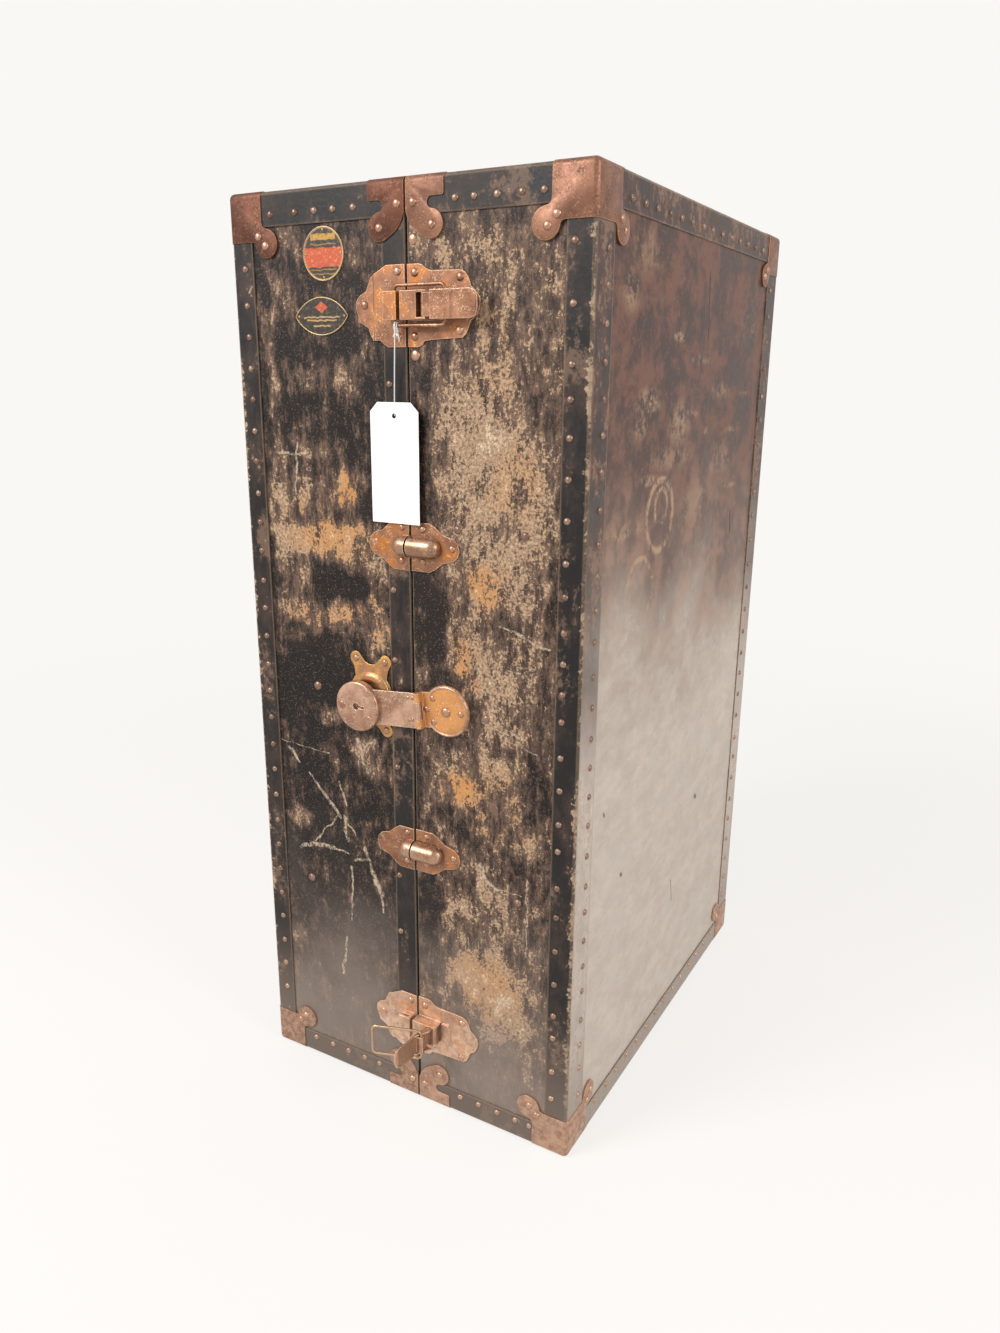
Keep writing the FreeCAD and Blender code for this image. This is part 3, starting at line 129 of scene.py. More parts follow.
def split_place(tree):
    """How far a point is across, how deep and how high, in metres."""
    return step(tree, "ShaderNodeSeparateXYZ", {0: place_on_trunk(tree)}).outputs


def mottle(tree, size, detail=4.0, rough=0.55, stretch=(1, 1, 1), seed=0.0):
    """Cloudy value from 0 to 1; size is the width of one cloud in metres."""
    scale = [amount / size for amount in stretch]
    where = step(tree, "ShaderNodeMapping", {
        "Vector": place_on_trunk(tree), "Scale": scale, "Location": (seed, seed * 0.7, seed * 1.3)})
    return step(tree, "ShaderNodeTexNoise", {
        "Vector": where.outputs[0], "Scale": 1.0, "Detail": detail, "Roughness": rough}).outputs[0]


def limit(tree, value, low, high, to_low=0.0, to_high=1.0):
    """Soft step: to_low below the low value, to_high above the high one."""
    return step(tree, "ShaderNodeMapRange", {
        "Value": value, "From Min": low, "From Max": high, "To Min": to_low, "To Max": to_high},
        interpolation_type="SMOOTHSTEP").outputs[0]


def maths(tree, operation, first, second=0.0, third=0.0):
    return step(tree, "ShaderNodeMath", {0: first, 1: second, 2: third}, operation=operation).outputs[0]


def times(tree, first, second):
    return maths(tree, "MULTIPLY", first, second)


def plus(tree, first, second):
    return maths(tree, "ADD", first, second)


def far_from(tree, value, middle):
    """How far a value is from a middle, either way."""
    return maths(tree, "ABSOLUTE", maths(tree, "SUBTRACT", value, middle))


def sway(tree, total, noise, reach):
    """The total, pushed up and down by a mottle that swings about its middle."""
    return plus(tree, maths(tree, "MULTIPLY_ADD", noise, reach, total), -reach / 2)


def largest(tree, values):
    top = values[0]
    for value in values[1:]:
        top = maths(tree, "MAXIMUM", top, value)
    return top


def blend(tree, amount, under, over):
    """The tone over laid on the tone under, by the amount."""
    return step(tree, "ShaderNodeMix", {0: amount, 6: under, 7: over}, data_type="RGBA").outputs[2]


# %% [markdown]
# Wear isn't even: a scuff sits where something rubbed. Three small brushes put marks at chosen
# places: a stroke between two points, a soft patch, and a ring such as a wet glass leaves. Each
# is a node group, so a mark costs one node, and the list of marks reads like a survey.

# %% Three brushes for marks
def brush(name, inputs):
    """An empty node group with the given inputs and one output, Mask."""
    group = bpy.data.node_groups.new(name, "ShaderNodeTree")
    group.interface.new_socket("Mask", in_out="OUTPUT", socket_type="NodeSocketFloat")
    for label, kind in inputs:
        group.interface.new_socket(label, in_out="INPUT", socket_type=f"NodeSocket{kind}")
    return group, step(group, "NodeGroupInput").outputs, step(group, "NodeGroupOutput").inputs[0]


def vectors(tree, operation, first, second=(0, 0, 0)):
    return step(tree, "ShaderNodeVectorMath", {0: first, 1: second}, operation=operation).outputs[0]


def measured(tree, operation, first, second=(0, 0, 0)):
    """A length, distance or product of vectors, which is one number."""
    return step(tree, "ShaderNodeVectorMath", {0: first, 1: second}, operation=operation).outputs[1]


def scaled(tree, vector, amount):
    return step(tree, "ShaderNodeVectorMath", {0: vector, "Scale": amount}, operation="SCALE").outputs[0]


def mark(tree, group, where, **inputs):
    """One mark made with a brush."""
    return step(tree, "ShaderNodeGroup", {"Where": where, **inputs}, node_tree=group).outputs[0]


stroke_brush, given, result = brush("stroke", [
    ("Where", "Vector"), ("From", "Vector"), ("To", "Vector"), ("Width", "Float")])
run = vectors(stroke_brush, "SUBTRACT", given["To"], given["From"])
here = vectors(stroke_brush, "SUBTRACT", given["Where"], given["From"])
share = maths(stroke_brush, "DIVIDE", measured(stroke_brush, "DOT_PRODUCT", here, run),
              measured(stroke_brush, "DOT_PRODUCT", run, run))
share = step(stroke_brush, "ShaderNodeClamp", {"Value": share}).outputs[0]
off_line = measured(stroke_brush, "DISTANCE", here, scaled(stroke_brush, run, share))
off_line = maths(stroke_brush, "DIVIDE", off_line, given["Width"])
plug(stroke_brush, result, limit(stroke_brush, off_line, 1.0, 0.35))

patch_brush, given, result = brush("patch", [
    ("Where", "Vector"), ("Centre", "Vector"), ("Size", "Vector")])
away = vectors(patch_brush, "SUBTRACT", given["Where"], given["Centre"])
away = measured(patch_brush, "LENGTH", vectors(patch_brush, "DIVIDE", away, given["Size"]))
plug(patch_brush, result, limit(patch_brush, away, 1.0, 0.25))

ring_brush, given, result = brush("ring", [
    ("Where", "Vector"), ("Centre", "Vector"), ("Radius", "Float"), ("Width", "Float")])
away = measured(ring_brush, "DISTANCE", given["Where"], given["Centre"])
away = maths(ring_brush, "DIVIDE", far_from(ring_brush, away, given["Radius"]), given["Width"])
plug(ring_brush, result, limit(ring_brush, away, 1.0, 0.2))
print("brushes:", [group.name for group in bpy.data.node_groups])

# %% [markdown]
# The stage is a pale floor that runs into a white backdrop. A studio does this with a paper
# sweep. Here the floor is a disc that shades like white paper near the trunk, where it takes
# the shadow, and fades into the backdrop's own white further out, so no horizon shows.

# %% Lay the floor
BACKDROP = tone(250, 248, 245)
FLOOR_RADIUS, FLOOR_SIDES = 6.0, 96


def from_points(name, points, faces):
    """A mesh from its points and faces, as an object."""
    mesh = bpy.data.meshes.new(name)
    mesh.from_pydata(points, [], faces)
    return put(name, mesh)


def circle(radius, sides):
    """Points round the middle, in the plane of x and y."""
    angles = [number * math.tau / sides for number in range(sides)]
    return [(radius * math.cos(angle), radius * math.sin(angle)) for angle in angles]


floor = from_points("floor", [(x, y, 0) for x, y in circle(FLOOR_RADIUS, FLOOR_SIDES)], [range(FLOOR_SIDES)])

paper = bpy.data.materials.new("paper_sweep")
paper.use_nodes = True
tree = paper.node_tree
tree.nodes.clear()
from_middle = measured(tree, "LENGTH", place_on_trunk(tree))
lit = step(tree, "ShaderNodeBsdfDiffuse", {"Color": tone(244, 242, 239)})
glow = step(tree, "ShaderNodeEmission", {"Color": BACKDROP, "Strength": 1.0})
sweep = step(tree, "ShaderNodeMixShader", {
    0: limit(tree, from_middle, 0.9, 2.4, 0.80, 1.0), 1: lit.outputs[0], 2: glow.outputs[0]})
step(tree, "ShaderNodeOutputMaterial", {"Surface": sweep.outputs[0]})
floor.data.materials.append(paper)
print("floor across:", 2 * FLOOR_RADIUS, "m")

# %% [markdown]
# The light is a soft studio light: a pale world all round, a large lamp in front on the left,
# and a weaker one on the right. The world is plain white to the camera, in reflections and
# through glass, and gentler where it lights surfaces, so that shapes still turn from light to dark.

# %% Light the stage
world = bpy.data.worlds.new("studio")
bpy.context.scene.world = world
world.use_nodes = True
tree = world.node_tree
tree.nodes.clear()
path = step(tree, "ShaderNodeLightPath").outputs
seen = maths(tree, "MAXIMUM", path["Is Camera Ray"], maths(
    tree, "MAXIMUM", path["Is Glossy Ray"], path["Is Transmission Ray"]))
strength = limit(tree, seen, 0.0, 1.0, 0.62, 1.0)
sky = step(tree, "ShaderNodeBackground", {"Color": BACKDROP, "Strength": strength})
step(tree, "ShaderNodeOutputWorld", {"Surface": sky.outputs[0]})


def lamp(name, place, aim, size, power):
    data = bpy.data.lights.new(name, "AREA")
    data.shape = "DISK"
    data.size = size
    data.energy = power
    made = put(name, data)
    made.location = place
    made.rotation_mode = "QUATERNION"
    made.rotation_quaternion = (Vector(aim) - Vector(place)).to_track_quat("-Z", "Y")


lamp("key_lamp", (-1.5, -2.6, 2.5), (0, 0, 0.5), 1.6, 95)
lamp("side_lamp", (2.8, -0.6, 1.8), (0, 0, 0.4), 1.4, 42)
bpy.context.scene.view_settings.view_transform = "Standard"
print("lamps:", [light.name for light in bpy.data.lights])

# %% [markdown]
# The tag hangs by a thin cotton string from the wire loop of the upper latch. It is a free cord,
# so it is one smooth spline: a loop over the wire at the top, then a long fall that leans a
# little before it passes behind the card and out through its hole. The knot and two short ends
# sit where the loop closes, just under the wire.

# %% Hang the string
STRING_WIDE = 0.0012
STRING_ROUTE = [
    (-0.00225, -0.2889, 0.800), (-0.00225, -0.2889, 0.818), (0.00575, -0.2970, 0.88167),
    (0.00575, -0.2970, 0.88747), (0.00575, -0.2912, 0.88747), (0.00575, -0.2912, 0.87457),
]


def spline(name, points, thick):
    """A round cord along one open spline. Each point carries the radius, so that its box is tight."""
    curve = bpy.data.curves.new(name, "CURVE")
    curve.dimensions = "3D"
    curve.bevel_depth = 1.0
    curve.bevel_resolution = 3
    curve.resolution_u = 12
    line = curve.splines.new("NURBS")
    line.points.add(len(points) - 1)
    for point, place in zip(line.points, points):
        point.co = (*place, 1)
        point.radius = thick / 2
    line.order_u = 3
    line.use_endpoint_u = True
    return put(name, curve)


string = spline("tag_cord", STRING_ROUTE, STRING_WIDE)
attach(string, "upper_bail")
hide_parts("tag_string")
print("string points:", len(STRING_ROUTE))

# %% [markdown]
# Every finish starts from the same empty bench: a material with one surface shader. The bench
# also has the last move of each finish, which is to set colour, roughness and relief. Then come
# the dressing of solid parts, which only swaps the material in a part's slots, and the fitting of
# new pieces, which says what they are made of and what they move with.

# %% Start, lay and dress a finish
def new_finish(name, metal=0.0, shine=0.5):
    material = bpy.data.materials.new(name)
    material.use_nodes = True
    tree = material.node_tree
    tree.nodes.clear()
    shader = step(tree, "ShaderNodeBsdfPrincipled", {"Metallic": metal, "Specular IOR Level": shine})
    step(tree, "ShaderNodeOutputMaterial", {"Surface": shader.outputs[0]})
    return material, tree, shader


def rounded_normal(tree, radius):
    """The way the surface would face if its edges were rounded."""
    return step(tree, "ShaderNodeBevel", {"Radius": radius}, samples=4).outputs[0]


def lay(tree, shader, colour, rough, relief, deep, soft_edge=0.0):
    """Join colour, roughness and a height that raises the surface; a soft edge rounds the corners' light."""
    plug(tree, shader.inputs["Base Color"], colour)
    plug(tree, shader.inputs["Roughness"], rough)
    bump = step(tree, "ShaderNodeBump", {"Height": relief, "Distance": deep, "Strength": 1.0})
    if soft_edge:
        plug(tree, bump.inputs["Normal"], rounded_normal(tree, soft_edge))
    plug(tree, shader.inputs["Normal"], bump.outputs[0])


def dress(finish, *names):
    for name in names:
        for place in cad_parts[name].material_slots:
            place.material = finish


def fit(piece, finish, body, replaced=None, sharp=None):
    """Finish a new mesh piece and fix it to its body. Edges over the sharp angle in degrees stay hard."""
    piece.data.shade_smooth()
    if sharp is not None:
        piece.data.set_sharp_from_angle(angle=math.radians(sharp))
    piece.data.materials.clear()
    piece.data.materials.append(finish)
    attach(piece, body)
    if replaced is not None:
        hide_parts(replaced)


SEAM = (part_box("left_seam_rim")[1].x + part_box("right_seam_rim")[0].x) / 2
print("seam at x =", round(SEAM, 5))

# %% [markdown]
# Metal and fibre are rubbed bright or bare along their edges. The pale edge tone also stands in
# for the highlight that a rounded edge would catch, so it is partly a painted highlight. A bevel
# node gives the normal that an edge would have if it were rounded. Where that differs from the
# true normal, there is an edge, and there the paint or the brown copper has gone.

# %% Find edges for wear and a painted highlight
def edge_mask(tree, wide, grit):
    """From 0 on a flat to 1 along an edge, broken up by a grit value."""
    normal = step(tree, "ShaderNodeNewGeometry").outputs["Normal"]
    alike = measured(tree, "DOT_PRODUCT", rounded_normal(tree, wide), normal)
    return limit(tree, plus(tree, maths(tree, "SUBTRACT", 1.0, alike), times(tree, grit, 0.12)), 0.07, 0.16)


# %% [markdown]
# The front is vulcanised fibre, painted black long ago. Handling has rubbed it to brown, and to
# the tan of the bare board in flecks. The rubbed places are listed from the seam and the floor in
# millimetres, with a half width, a half height and a strength; negative strength keeps it black.

# %% List the wear of the front
RUBBED = [
    (-172, 850, 15, 140, 0.34), (-178, 700, 20, 80, 0.34), (-128, 838, 36, 24, 0.26),
    (-76, 838, 36, 28, 0.28), (-58, 958, 26, 36, 0.20), (-150, 965, 44, 26, 0.14),
    (-150, 910, 50, 40, 0.08), (-135, 762, 36, 16, 0.26), (-120, 718, 74, 38, 0.30),
    (-78, 728, 26, 44, 0.34), (-125, 668, 74, 36, 0.42), (-158, 640, 34, 54, 0.32),
    (-70, 665, 46, 44, 0.30), (-45, 640, 20, 60, 0.30), (-90, 619, 48, 14, -0.60),
    (-138, 585, 66, 28, 0.42), (-84, 590, 34, 24, 0.34), (-44, 575, 26, 50, 0.52),
    (-125, 505, 96, 62, -0.30), (-132, 473, 44, 20, 0.44), (-62, 428, 34, 34, 0.40),
    (-34, 440, 14, 60, 0.26), (-112, 424, 18, 44, 0.16), (-168, 334, 26, 18, 0.40),
    (-176, 168, 12, 26, 0.34), (-120, 240, 110, 120, -0.10), (-95, 790, 40, 20, 0.06),
    (98, 868, 84, 84, 0.20), (62, 785, 70, 66, 0.34), (112, 742, 80, 84, 0.36), (60, 700, 50, 56, 0.22),
    (96, 650, 70, 54, 0.32), (138, 650, 34, 84, 0.20), (104, 560, 66, 44, 0.34), (68, 566, 30, 60, 0.24),
    (20, 610, 30, 110, -0.42), (12, 800, 20, 80, -0.20), (36, 905, 30, 30, -0.10), (78, 948, 100, 30, 0.14),
    (110, 500, 60, 50, 0.16), (104, 446, 40, 34, 0.44), (48, 420, 48, 40, 0.24), (104, 398, 60, 56, 0.20),
    (62, 360, 60, 40, 0.06), (136, 362, 26, 20, 0.34), (84, 318, 12, 14, 0.50), (108, 280, 44, 50, 0.26),
    (55, 265, 34, 34, 0.28), (95, 190, 68, 66, 0.40), (122, 150, 46, 50, 0.30), (62, 185, 44, 40, 0.20),
    (104, 118, 30, 22, 0.34), (16, 260, 22, 140, -0.30), (150, 250, 18, 100, 0.10),
]
OCHRE = [(88, 640, 34, 34, 0.8), (64, 556, 24, 46, 0.8), (-105, 680, 80, 56, 0.75), (-78, 730, 26, 40, 0.9),
         (58, 416, 34, 26, 0.8), (-60, 590, 50, 50, 0.6), (100, 850, 40, 60, 0.12), (90, 180, 70, 60, 0.6),
         (-132, 582, 60, 34, 0.5), (100, 400, 70, 70, 0.35), (120, 742, 40, 60, 0.3)]
SCRATCHES = [
    (-170, 289, -150, 299, 3.4), (-152, 299, -118, 300, 3.6), (-118, 300, -98, 299, 1.8),
    (-148, 302, -108, 346, 1.5), (-102, 348, -98, 316, 2.2), (-151, 388, -130, 366, 2.0),
    (-142, 380, -108, 344, 3.2), (-106, 388, -98, 362, 1.8), (-180, 416, -165, 401, 2.6),
    (-72, 312, -62, 284, 3.0), (-62, 284, -48, 256, 4.2), (-50, 256, -48, 236, 2.4),
    (-88, 292, -70, 298, 2.4), (-92, 282, -95, 214, 1.6), (-103, 186, -113, 132, 2.2),
    (-96, 336, -84, 326, 1.4), (-78, 446, -66, 408, 2.6), (-70, 440, -54, 448, 2.2),
    (84, 332, 92, 314, 3.6), (92, 314, 106, 310, 2.6), (106, 310, 134, 309, 1.0), (112, 556, 132, 555, 1.2),
    (126, 562, 142, 560, 1.2), (104, 600, 160, 584, 1.6), (120, 492, 132, 486, 2.4),
    (-146, 770, -150, 715, 1.6), (-172, 756, -132, 758, 2.0), (72, 962, 75, 940, 0.9),
    (118, 480, 150, 472, 0.7), (-205, 424, -120, 420, 0.7), (60, 760, 58, 700, 0.8),
    (140, 330, 142, 240, 0.9),
]


def on_front(x, z):
    """A place on the front, from millimetres off the seam and above the floor."""
    return (SEAM + x * MM, 0, z * MM)


def front_place(tree):
    flat = step(tree, "ShaderNodeMapping", {"Vector": place_on_trunk(tree), "Scale": (1, 0, 1)})
    return flat.outputs[0]


def total_of_patches(tree, where, patches):
    """Every patch's strength where it lies, added up."""
    total = 0.0
    for x, z, half_wide, half_tall, strength in patches:
        size = (half_wide * MM, 1, half_tall * MM)
        patch = mark(tree, patch_brush, where, Centre=on_front(x, z), Size=size)
        total = maths(tree, "MULTIPLY_ADD", patch, strength, total)
    return total


def all_strokes(tree, where, place_on, strokes):
    """1 on every stroke of a list; place_on turns its two ends into places on the front or a side."""
    return largest(tree, [
        mark(tree, stroke_brush, where, From=place_on(*ends[:2]), To=place_on(*ends[2:]), Width=wide * MM)
        for *ends, wide in strokes])


print("rubbed places:", len(RUBBED), "scratches:", len(SCRATCHES))

# %% [markdown]
# The black fibre is built as it wore: black paint first, a dull brown where it has thinned, tan
# flecks where it has gone, dust in the tan, then a pale veil towards the floor that is dust with
# painted light from the floor, and last the scratches, cut through everything. One value, the
# wear, drives the first three, so their borders follow each other as real wear does.

# %% Finish: worn black fibre
def jittered(tree, where, amount, size):
    """The place, pushed about a little, so that marks get torn edges."""
    noise = step(tree, "ShaderNodeTexNoise", {
        "Vector": place_on_trunk(tree), "Scale": 1 / size, "Detail": 3.0}).outputs["Color"]
    centred = vectors(tree, "SUBTRACT", noise, (0.5, 0.5, 0.5))
    pushed = vectors(tree, "MULTIPLY", scaled(tree, centred, amount), (1, 0, 1))
    return vectors(tree, "ADD", where, pushed)


black_fibre, tree, shader = new_finish("black_fibre", shine=0.22)
where = jittered(tree, front_place(tree), 0.045, 0.035)
across, deep, high = split_place(tree)
on_the_front = limit(tree, deep, -0.20, -0.27)
start = limit(tree, across, SEAM - 0.004, SEAM + 0.004, 0.15, 0.31)
places = maths(tree, "MULTIPLY_ADD", total_of_patches(tree, where, RUBBED), on_the_front, start)
clouds = mottle(tree, 0.10, detail=3, seed=3.1)
blotches = mottle(tree, 0.020, detail=12, rough=0.80, stretch=(1, 1, 0.7), seed=7.7)
threads = mottle(tree, 0.010, detail=9, rough=0.76, stretch=(1, 1, 0.30), seed=1.9)
specks = mottle(tree, 0.0032, detail=6, rough=0.72, seed=5.3)
wear = sway(tree, places, clouds, 0.5)
thin = limit(tree, sway(tree, sway(tree, wear, blotches, 2.0), threads, 1.0), 0.06, 0.46)
torn = sway(tree, sway(tree, sway(tree, wear, blotches, 3.0), threads, 1.3), specks, 1.3)
bare = limit(tree, torn, 0.55, 0.61)
paint = blend(tree, limit(tree, clouds, 0.3, 0.7), tone(18, 13, 12), tone(32, 24, 22))
paint = blend(tree, limit(tree, specks, 0.52, 0.75, 0.0, 0.5), paint, tone(70, 56, 48))
brown = blend(tree, limit(tree, threads, 0.35, 0.65), tone(56, 42, 36), tone(116, 92, 77))
tan = blend(tree, limit(tree, specks, 0.38, 0.62), tone(124, 99, 80), tone(186, 156, 126))
ochre = total_of_patches(tree, where, OCHRE)
tan = blend(tree, times(tree, ochre, on_the_front), tan, tone(190, 136, 84))
colour = blend(tree, thin, paint, brown)
colour = blend(tree, bare, colour, tan)
colour = blend(tree, limit(tree, torn, 0.92, 1.25, 0.0, 0.8), colour, tone(226, 202, 170))
pepper = mottle(tree, 0.0030, detail=4, rough=0.6, seed=15.2)
pepper = limit(tree, sway(tree, pepper, wear, 0.30), 0.62, 0.66, 0.0, 0.75)
colour = blend(tree, pepper, colour, tone(158, 132, 108))
fine_pepper = limit(tree, mottle(tree, 0.0016, detail=2, rough=0.6, seed=18.6), 0.63, 0.67, 0.0, 0.5)
colour = blend(tree, fine_pepper, colour, tone(146, 120, 98))
grime = mottle(tree, 0.0042, detail=5, rough=0.7, seed=9.4)
colour = blend(tree, limit(tree, grime, 0.58, 0.68, 0.0, 0.8), colour, tone(40, 32, 28))
# Paler towards the floor: dust, with painted light from the floor.
dust_and_floor_light = limit(tree, sway(tree, high, clouds, 0.3), 0.32, 0.0, 0.0, 0.66)
colour = blend(tree, dust_and_floor_light, colour, tone(150, 134, 123))
cuts = all_strokes(tree, jittered(tree, front_place(tree), 0.010, 0.012), on_front, SCRATCHES)
broken = limit(tree, sway(tree, specks, threads, 0.8), 0.42, 0.56, 0.15, 0.95)
cuts = times(tree, times(tree, cuts, on_the_front), broken)
colour = blend(tree, cuts, colour, tone(186, 166, 142))
height = plus(tree, times(tree, bare, -0.35), times(tree, specks, 0.5))
height = plus(tree, height, times(tree, cuts, -0.6))
lay(tree, shader, colour, limit(tree, torn, 0.2, 1.0, 0.50, 0.82), height, 0.0003)
dress(black_fibre, *[f"{side}_{face}_panel" for side in SIGN for face in ("front", "back", "top", "bottom")])
print("nodes in the black fibre:", len(tree.nodes))

# %% [markdown]
# The sides are the same board under a brown skin. It is dark red-brown at the top. Towards the
# floor it turns a pale warm grey, which is a painted reflection of the white floor, seen on the
# side at a low angle. A wet glass left two rings, and there are tan smudges, a long dent and a
# few nail holes. The change of tone follows height, pushed about by large clouds so that it has
# no straight border.

# %% Finish: side fibre with a painted floor reflection
SMUDGES = [(83, 916, 30, 26, 0.5), (140, 814, 44, 20, 0.75), (120, 792, 24, 18, 0.6),
           (233, 790, 44, 34, 0.6), (220, 880, 26, 7, 0.9), (461, 820, 24, 5, 0.8), (468, 905, 40, 40, 0.3),
           (300, 700, 60, 40, 0.35), (380, 745, 80, 24, 0.35), (290, 858, 44, 7, 0.5),
           (210, 755, 90, 16, 0.4), (430, 708, 30, 5, 0.6), (325, 778, 12, 8, 0.7), (95, 690, 60, 12, 0.5),
           (150, 736, 40, 8, 0.7), (370, 825, 50, 14, 0.35), (250, 800, 60, 6, 0.6),
           (120, 955, 50, 30, 0.3), (420, 778, 40, 5, 0.4), (30, 640, 30, 20, 0.2)]
RINGS = [(188, 696, 38, 6.0), (138, 620, 36, 5.0), (190, 706, 18, 5.0)]
DENTS = [(303, 950, 310, 880, 2.4), (441, 672, 445, 648, 4.0), (124, 295, 127, 293, 3.4),
         (376, 297, 381, 294, 4.4), (300, 206, 308, 172, 1.2), (68, 392, 71, 388, 2.0)]
FRONT_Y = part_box("right_front_panel")[0].y


def on_side(y, z):
    """A place on the side, from millimetres behind the front and above the floor."""
    return (0, FRONT_Y + y * MM, z * MM)


side_fibre, tree, shader = new_finish("side_fibre", shine=0.22)
flat = step(tree, "ShaderNodeMapping", {"Vector": place_on_trunk(tree), "Scale": (0, 1, 1)}).outputs[0]
across, deep, high = split_place(tree)
clouds = mottle(tree, 0.20, detail=5, rough=0.6, seed=2.2)
blotches = mottle(tree, 0.040, detail=9, rough=0.70, seed=4.4)
grain = mottle(tree, 0.005, detail=6, rough=0.7, seed=8.1)
streaks = mottle(tree, 0.018, detail=7, rough=0.66, stretch=(1, 0.5, 1), seed=6.0)
lift = sway(tree, sway(tree, high, clouds, 0.34), blotches, 0.16)
lift = maths(tree, "MULTIPLY_ADD", deep, 0.12, lift)
# Painted reflection of the white floor: the side turns pale grey towards the floor.
floor_glare = limit(tree, lift, 0.90, 0.34)
brown = blend(tree, limit(tree, blotches, 0.40, 0.60), tone(56, 34, 28), tone(108, 74, 61))
brown = blend(tree, limit(tree, streaks, 0.50, 0.68, 0.0, 0.5), brown, tone(52, 31, 25))
brown = blend(tree, limit(tree, grain, 0.56, 0.72, 0.0, 0.55), brown, tone(136, 102, 84))
middle = blend(tree, limit(tree, blotches, 0.40, 0.62), tone(98, 73, 61), tone(148, 119, 102))
# These pale grey tones are the painted reflection of the floor.
grey = blend(tree, limit(tree, streaks, 0.34, 0.68), tone(174, 159, 146), tone(190, 177, 164))
grey = blend(tree, limit(tree, blotches, 0.42, 0.66, 0.0, 0.6), grey, tone(182, 174, 164))
grey = blend(tree, limit(tree, grain, 0.55, 0.72, 0.0, 0.35), grey, tone(140, 124, 112))
colour = blend(tree, limit(tree, floor_glare, 0.05, 0.60), brown, middle)
colour = blend(tree, limit(tree, floor_glare, 0.40, 0.95), colour, grey)
spots = []
for y, z, half_deep, half_tall, strength in SMUDGES:
    smudge = mark(tree, patch_brush, flat, Centre=on_side(y, z), Size=(1, half_deep * MM, half_tall * MM))
    spots.append(times(tree, smudge, strength))
for y, z, radius, wide in RINGS:
    ring = mark(tree, ring_brush, flat, Centre=on_side(y, z), Radius=radius * MM, Width=wide * MM)
    spots.append(times(tree, ring, 0.8))
spots = times(tree, largest(tree, spots), limit(tree, sway(tree, blotches, grain, 0.8), 0.42, 0.62))
right_hand = limit(tree, across, 0.10, 0.15)
colour = blend(tree, times(tree, spots, right_hand), colour, tone(170, 142, 112))
pits = times(tree, all_strokes(tree, flat, on_side, DENTS), right_hand)
colour = blend(tree, times(tree, pits, 0.75), colour, tone(50, 38, 34))
height = plus(tree, times(tree, pits, -1.0), times(tree, grain, 0.35))
lay(tree, shader, colour, limit(tree, blotches, 0.3, 0.7, 0.34, 0.52), height, 0.0006)
dress(side_fibre, "left_side_panel", "right_side_panel")
print("nodes in the side fibre:", len(tree.nodes))

# %% [markdown]
# The edges are bound with folded strips of hard fibre, nailed down. They are almost black and a
# little glossy where hands polished them, and brown to pale along the corner and every edge, which
# is rubbed wear and partly a painted highlight. Their side legs turn pale grey towards the floor,
# a painted reflection of the floor as on the sides, and all of them are greyer near the floor,
# which is dust with painted light from the floor.

# %% Finish: fibre binding
binding, tree, shader = new_finish("fibre_binding", shine=0.32)
across, deep, high = split_place(tree)
blotches = mottle(tree, 0.028, detail=9, rough=0.70, stretch=(1, 1, 0.5), seed=11.0)
flecks = mottle(tree, 0.006, detail=6, rough=0.72, seed=12.0)
sweat = mottle(tree, 0.10, detail=4, seed=13.0)
colour = blend(tree, limit(tree, blotches, 0.42, 0.68), tone(20, 15, 14), tone(60, 45, 38))
handled = sway(tree, sway(tree, sweat, blotches, 1.2), flecks, 0.7)
colour = blend(tree, limit(tree, handled, 0.60, 0.74, 0.0, 0.6), colour, tone(120, 95, 78))
# Pale flecks near the outer corners: rubbed wear, partly a painted highlight of the rounded corner.
rim = limit(tree, maths(tree, "ABSOLUTE", across), 0.198, 0.2088, -0.06, 0.42)
rim_wear_and_highlight = sway(tree, sway(tree, rim, blotches, 1.8), flecks, 1.6)
colour = blend(tree, limit(tree, rim_wear_and_highlight, 0.34, 0.44, 0.0, 0.9), colour,
               blend(tree, limit(tree, flecks, 0.4, 0.64), tone(124, 102, 82), tone(178, 154, 128)))
on_the_side = limit(tree, maths(tree, "ABSOLUTE", across), 0.2078, 0.2083)
# Painted reflection of the floor: the side leg turns pale grey towards the floor, as on the sides.
leg_floor_glare = limit(tree, sway(tree, sway(tree, high, sweat, 0.3), blotches, 0.16), 0.74, 0.36)
side_brown = blend(tree, limit(tree, blotches, 0.38, 0.62), tone(40, 25, 21), tone(92, 64, 53))
leg_glare_grey = blend(tree, limit(tree, blotches, 0.36, 0.66), tone(164, 149, 137), tone(194, 181, 169))
side_tone = blend(tree, leg_floor_glare, side_brown, leg_glare_grey)
side_tone = blend(tree, limit(tree, rim_wear_and_highlight, 0.46, 0.60, 0.0, 0.45), side_tone, tone(146, 120, 100))
colour = blend(tree, on_the_side, colour, side_tone)
# Greyer near the floor: dust, with painted light from the floor.
near_floor = limit(tree, sway(tree, high, blotches, 0.05), 0.20, 0.03)
colour = blend(tree, times(tree, near_floor, 0.6), colour, tone(126, 110, 98))
# Pale along every edge: rubbed wear, partly a painted edge highlight.
edge = edge_mask(tree, 0.003, flecks)
colour = blend(tree, times(tree, edge, 0.6), colour, tone(160, 134, 110))
height = plus(tree, times(tree, blotches, 0.6), times(tree, flecks, 0.4))
lay(tree, shader, colour, limit(tree, blotches, 0.3, 0.7, 0.34, 0.58), height, 0.0006, soft_edge=0.0025)
dress(binding, "left_bindings", "right_bindings")
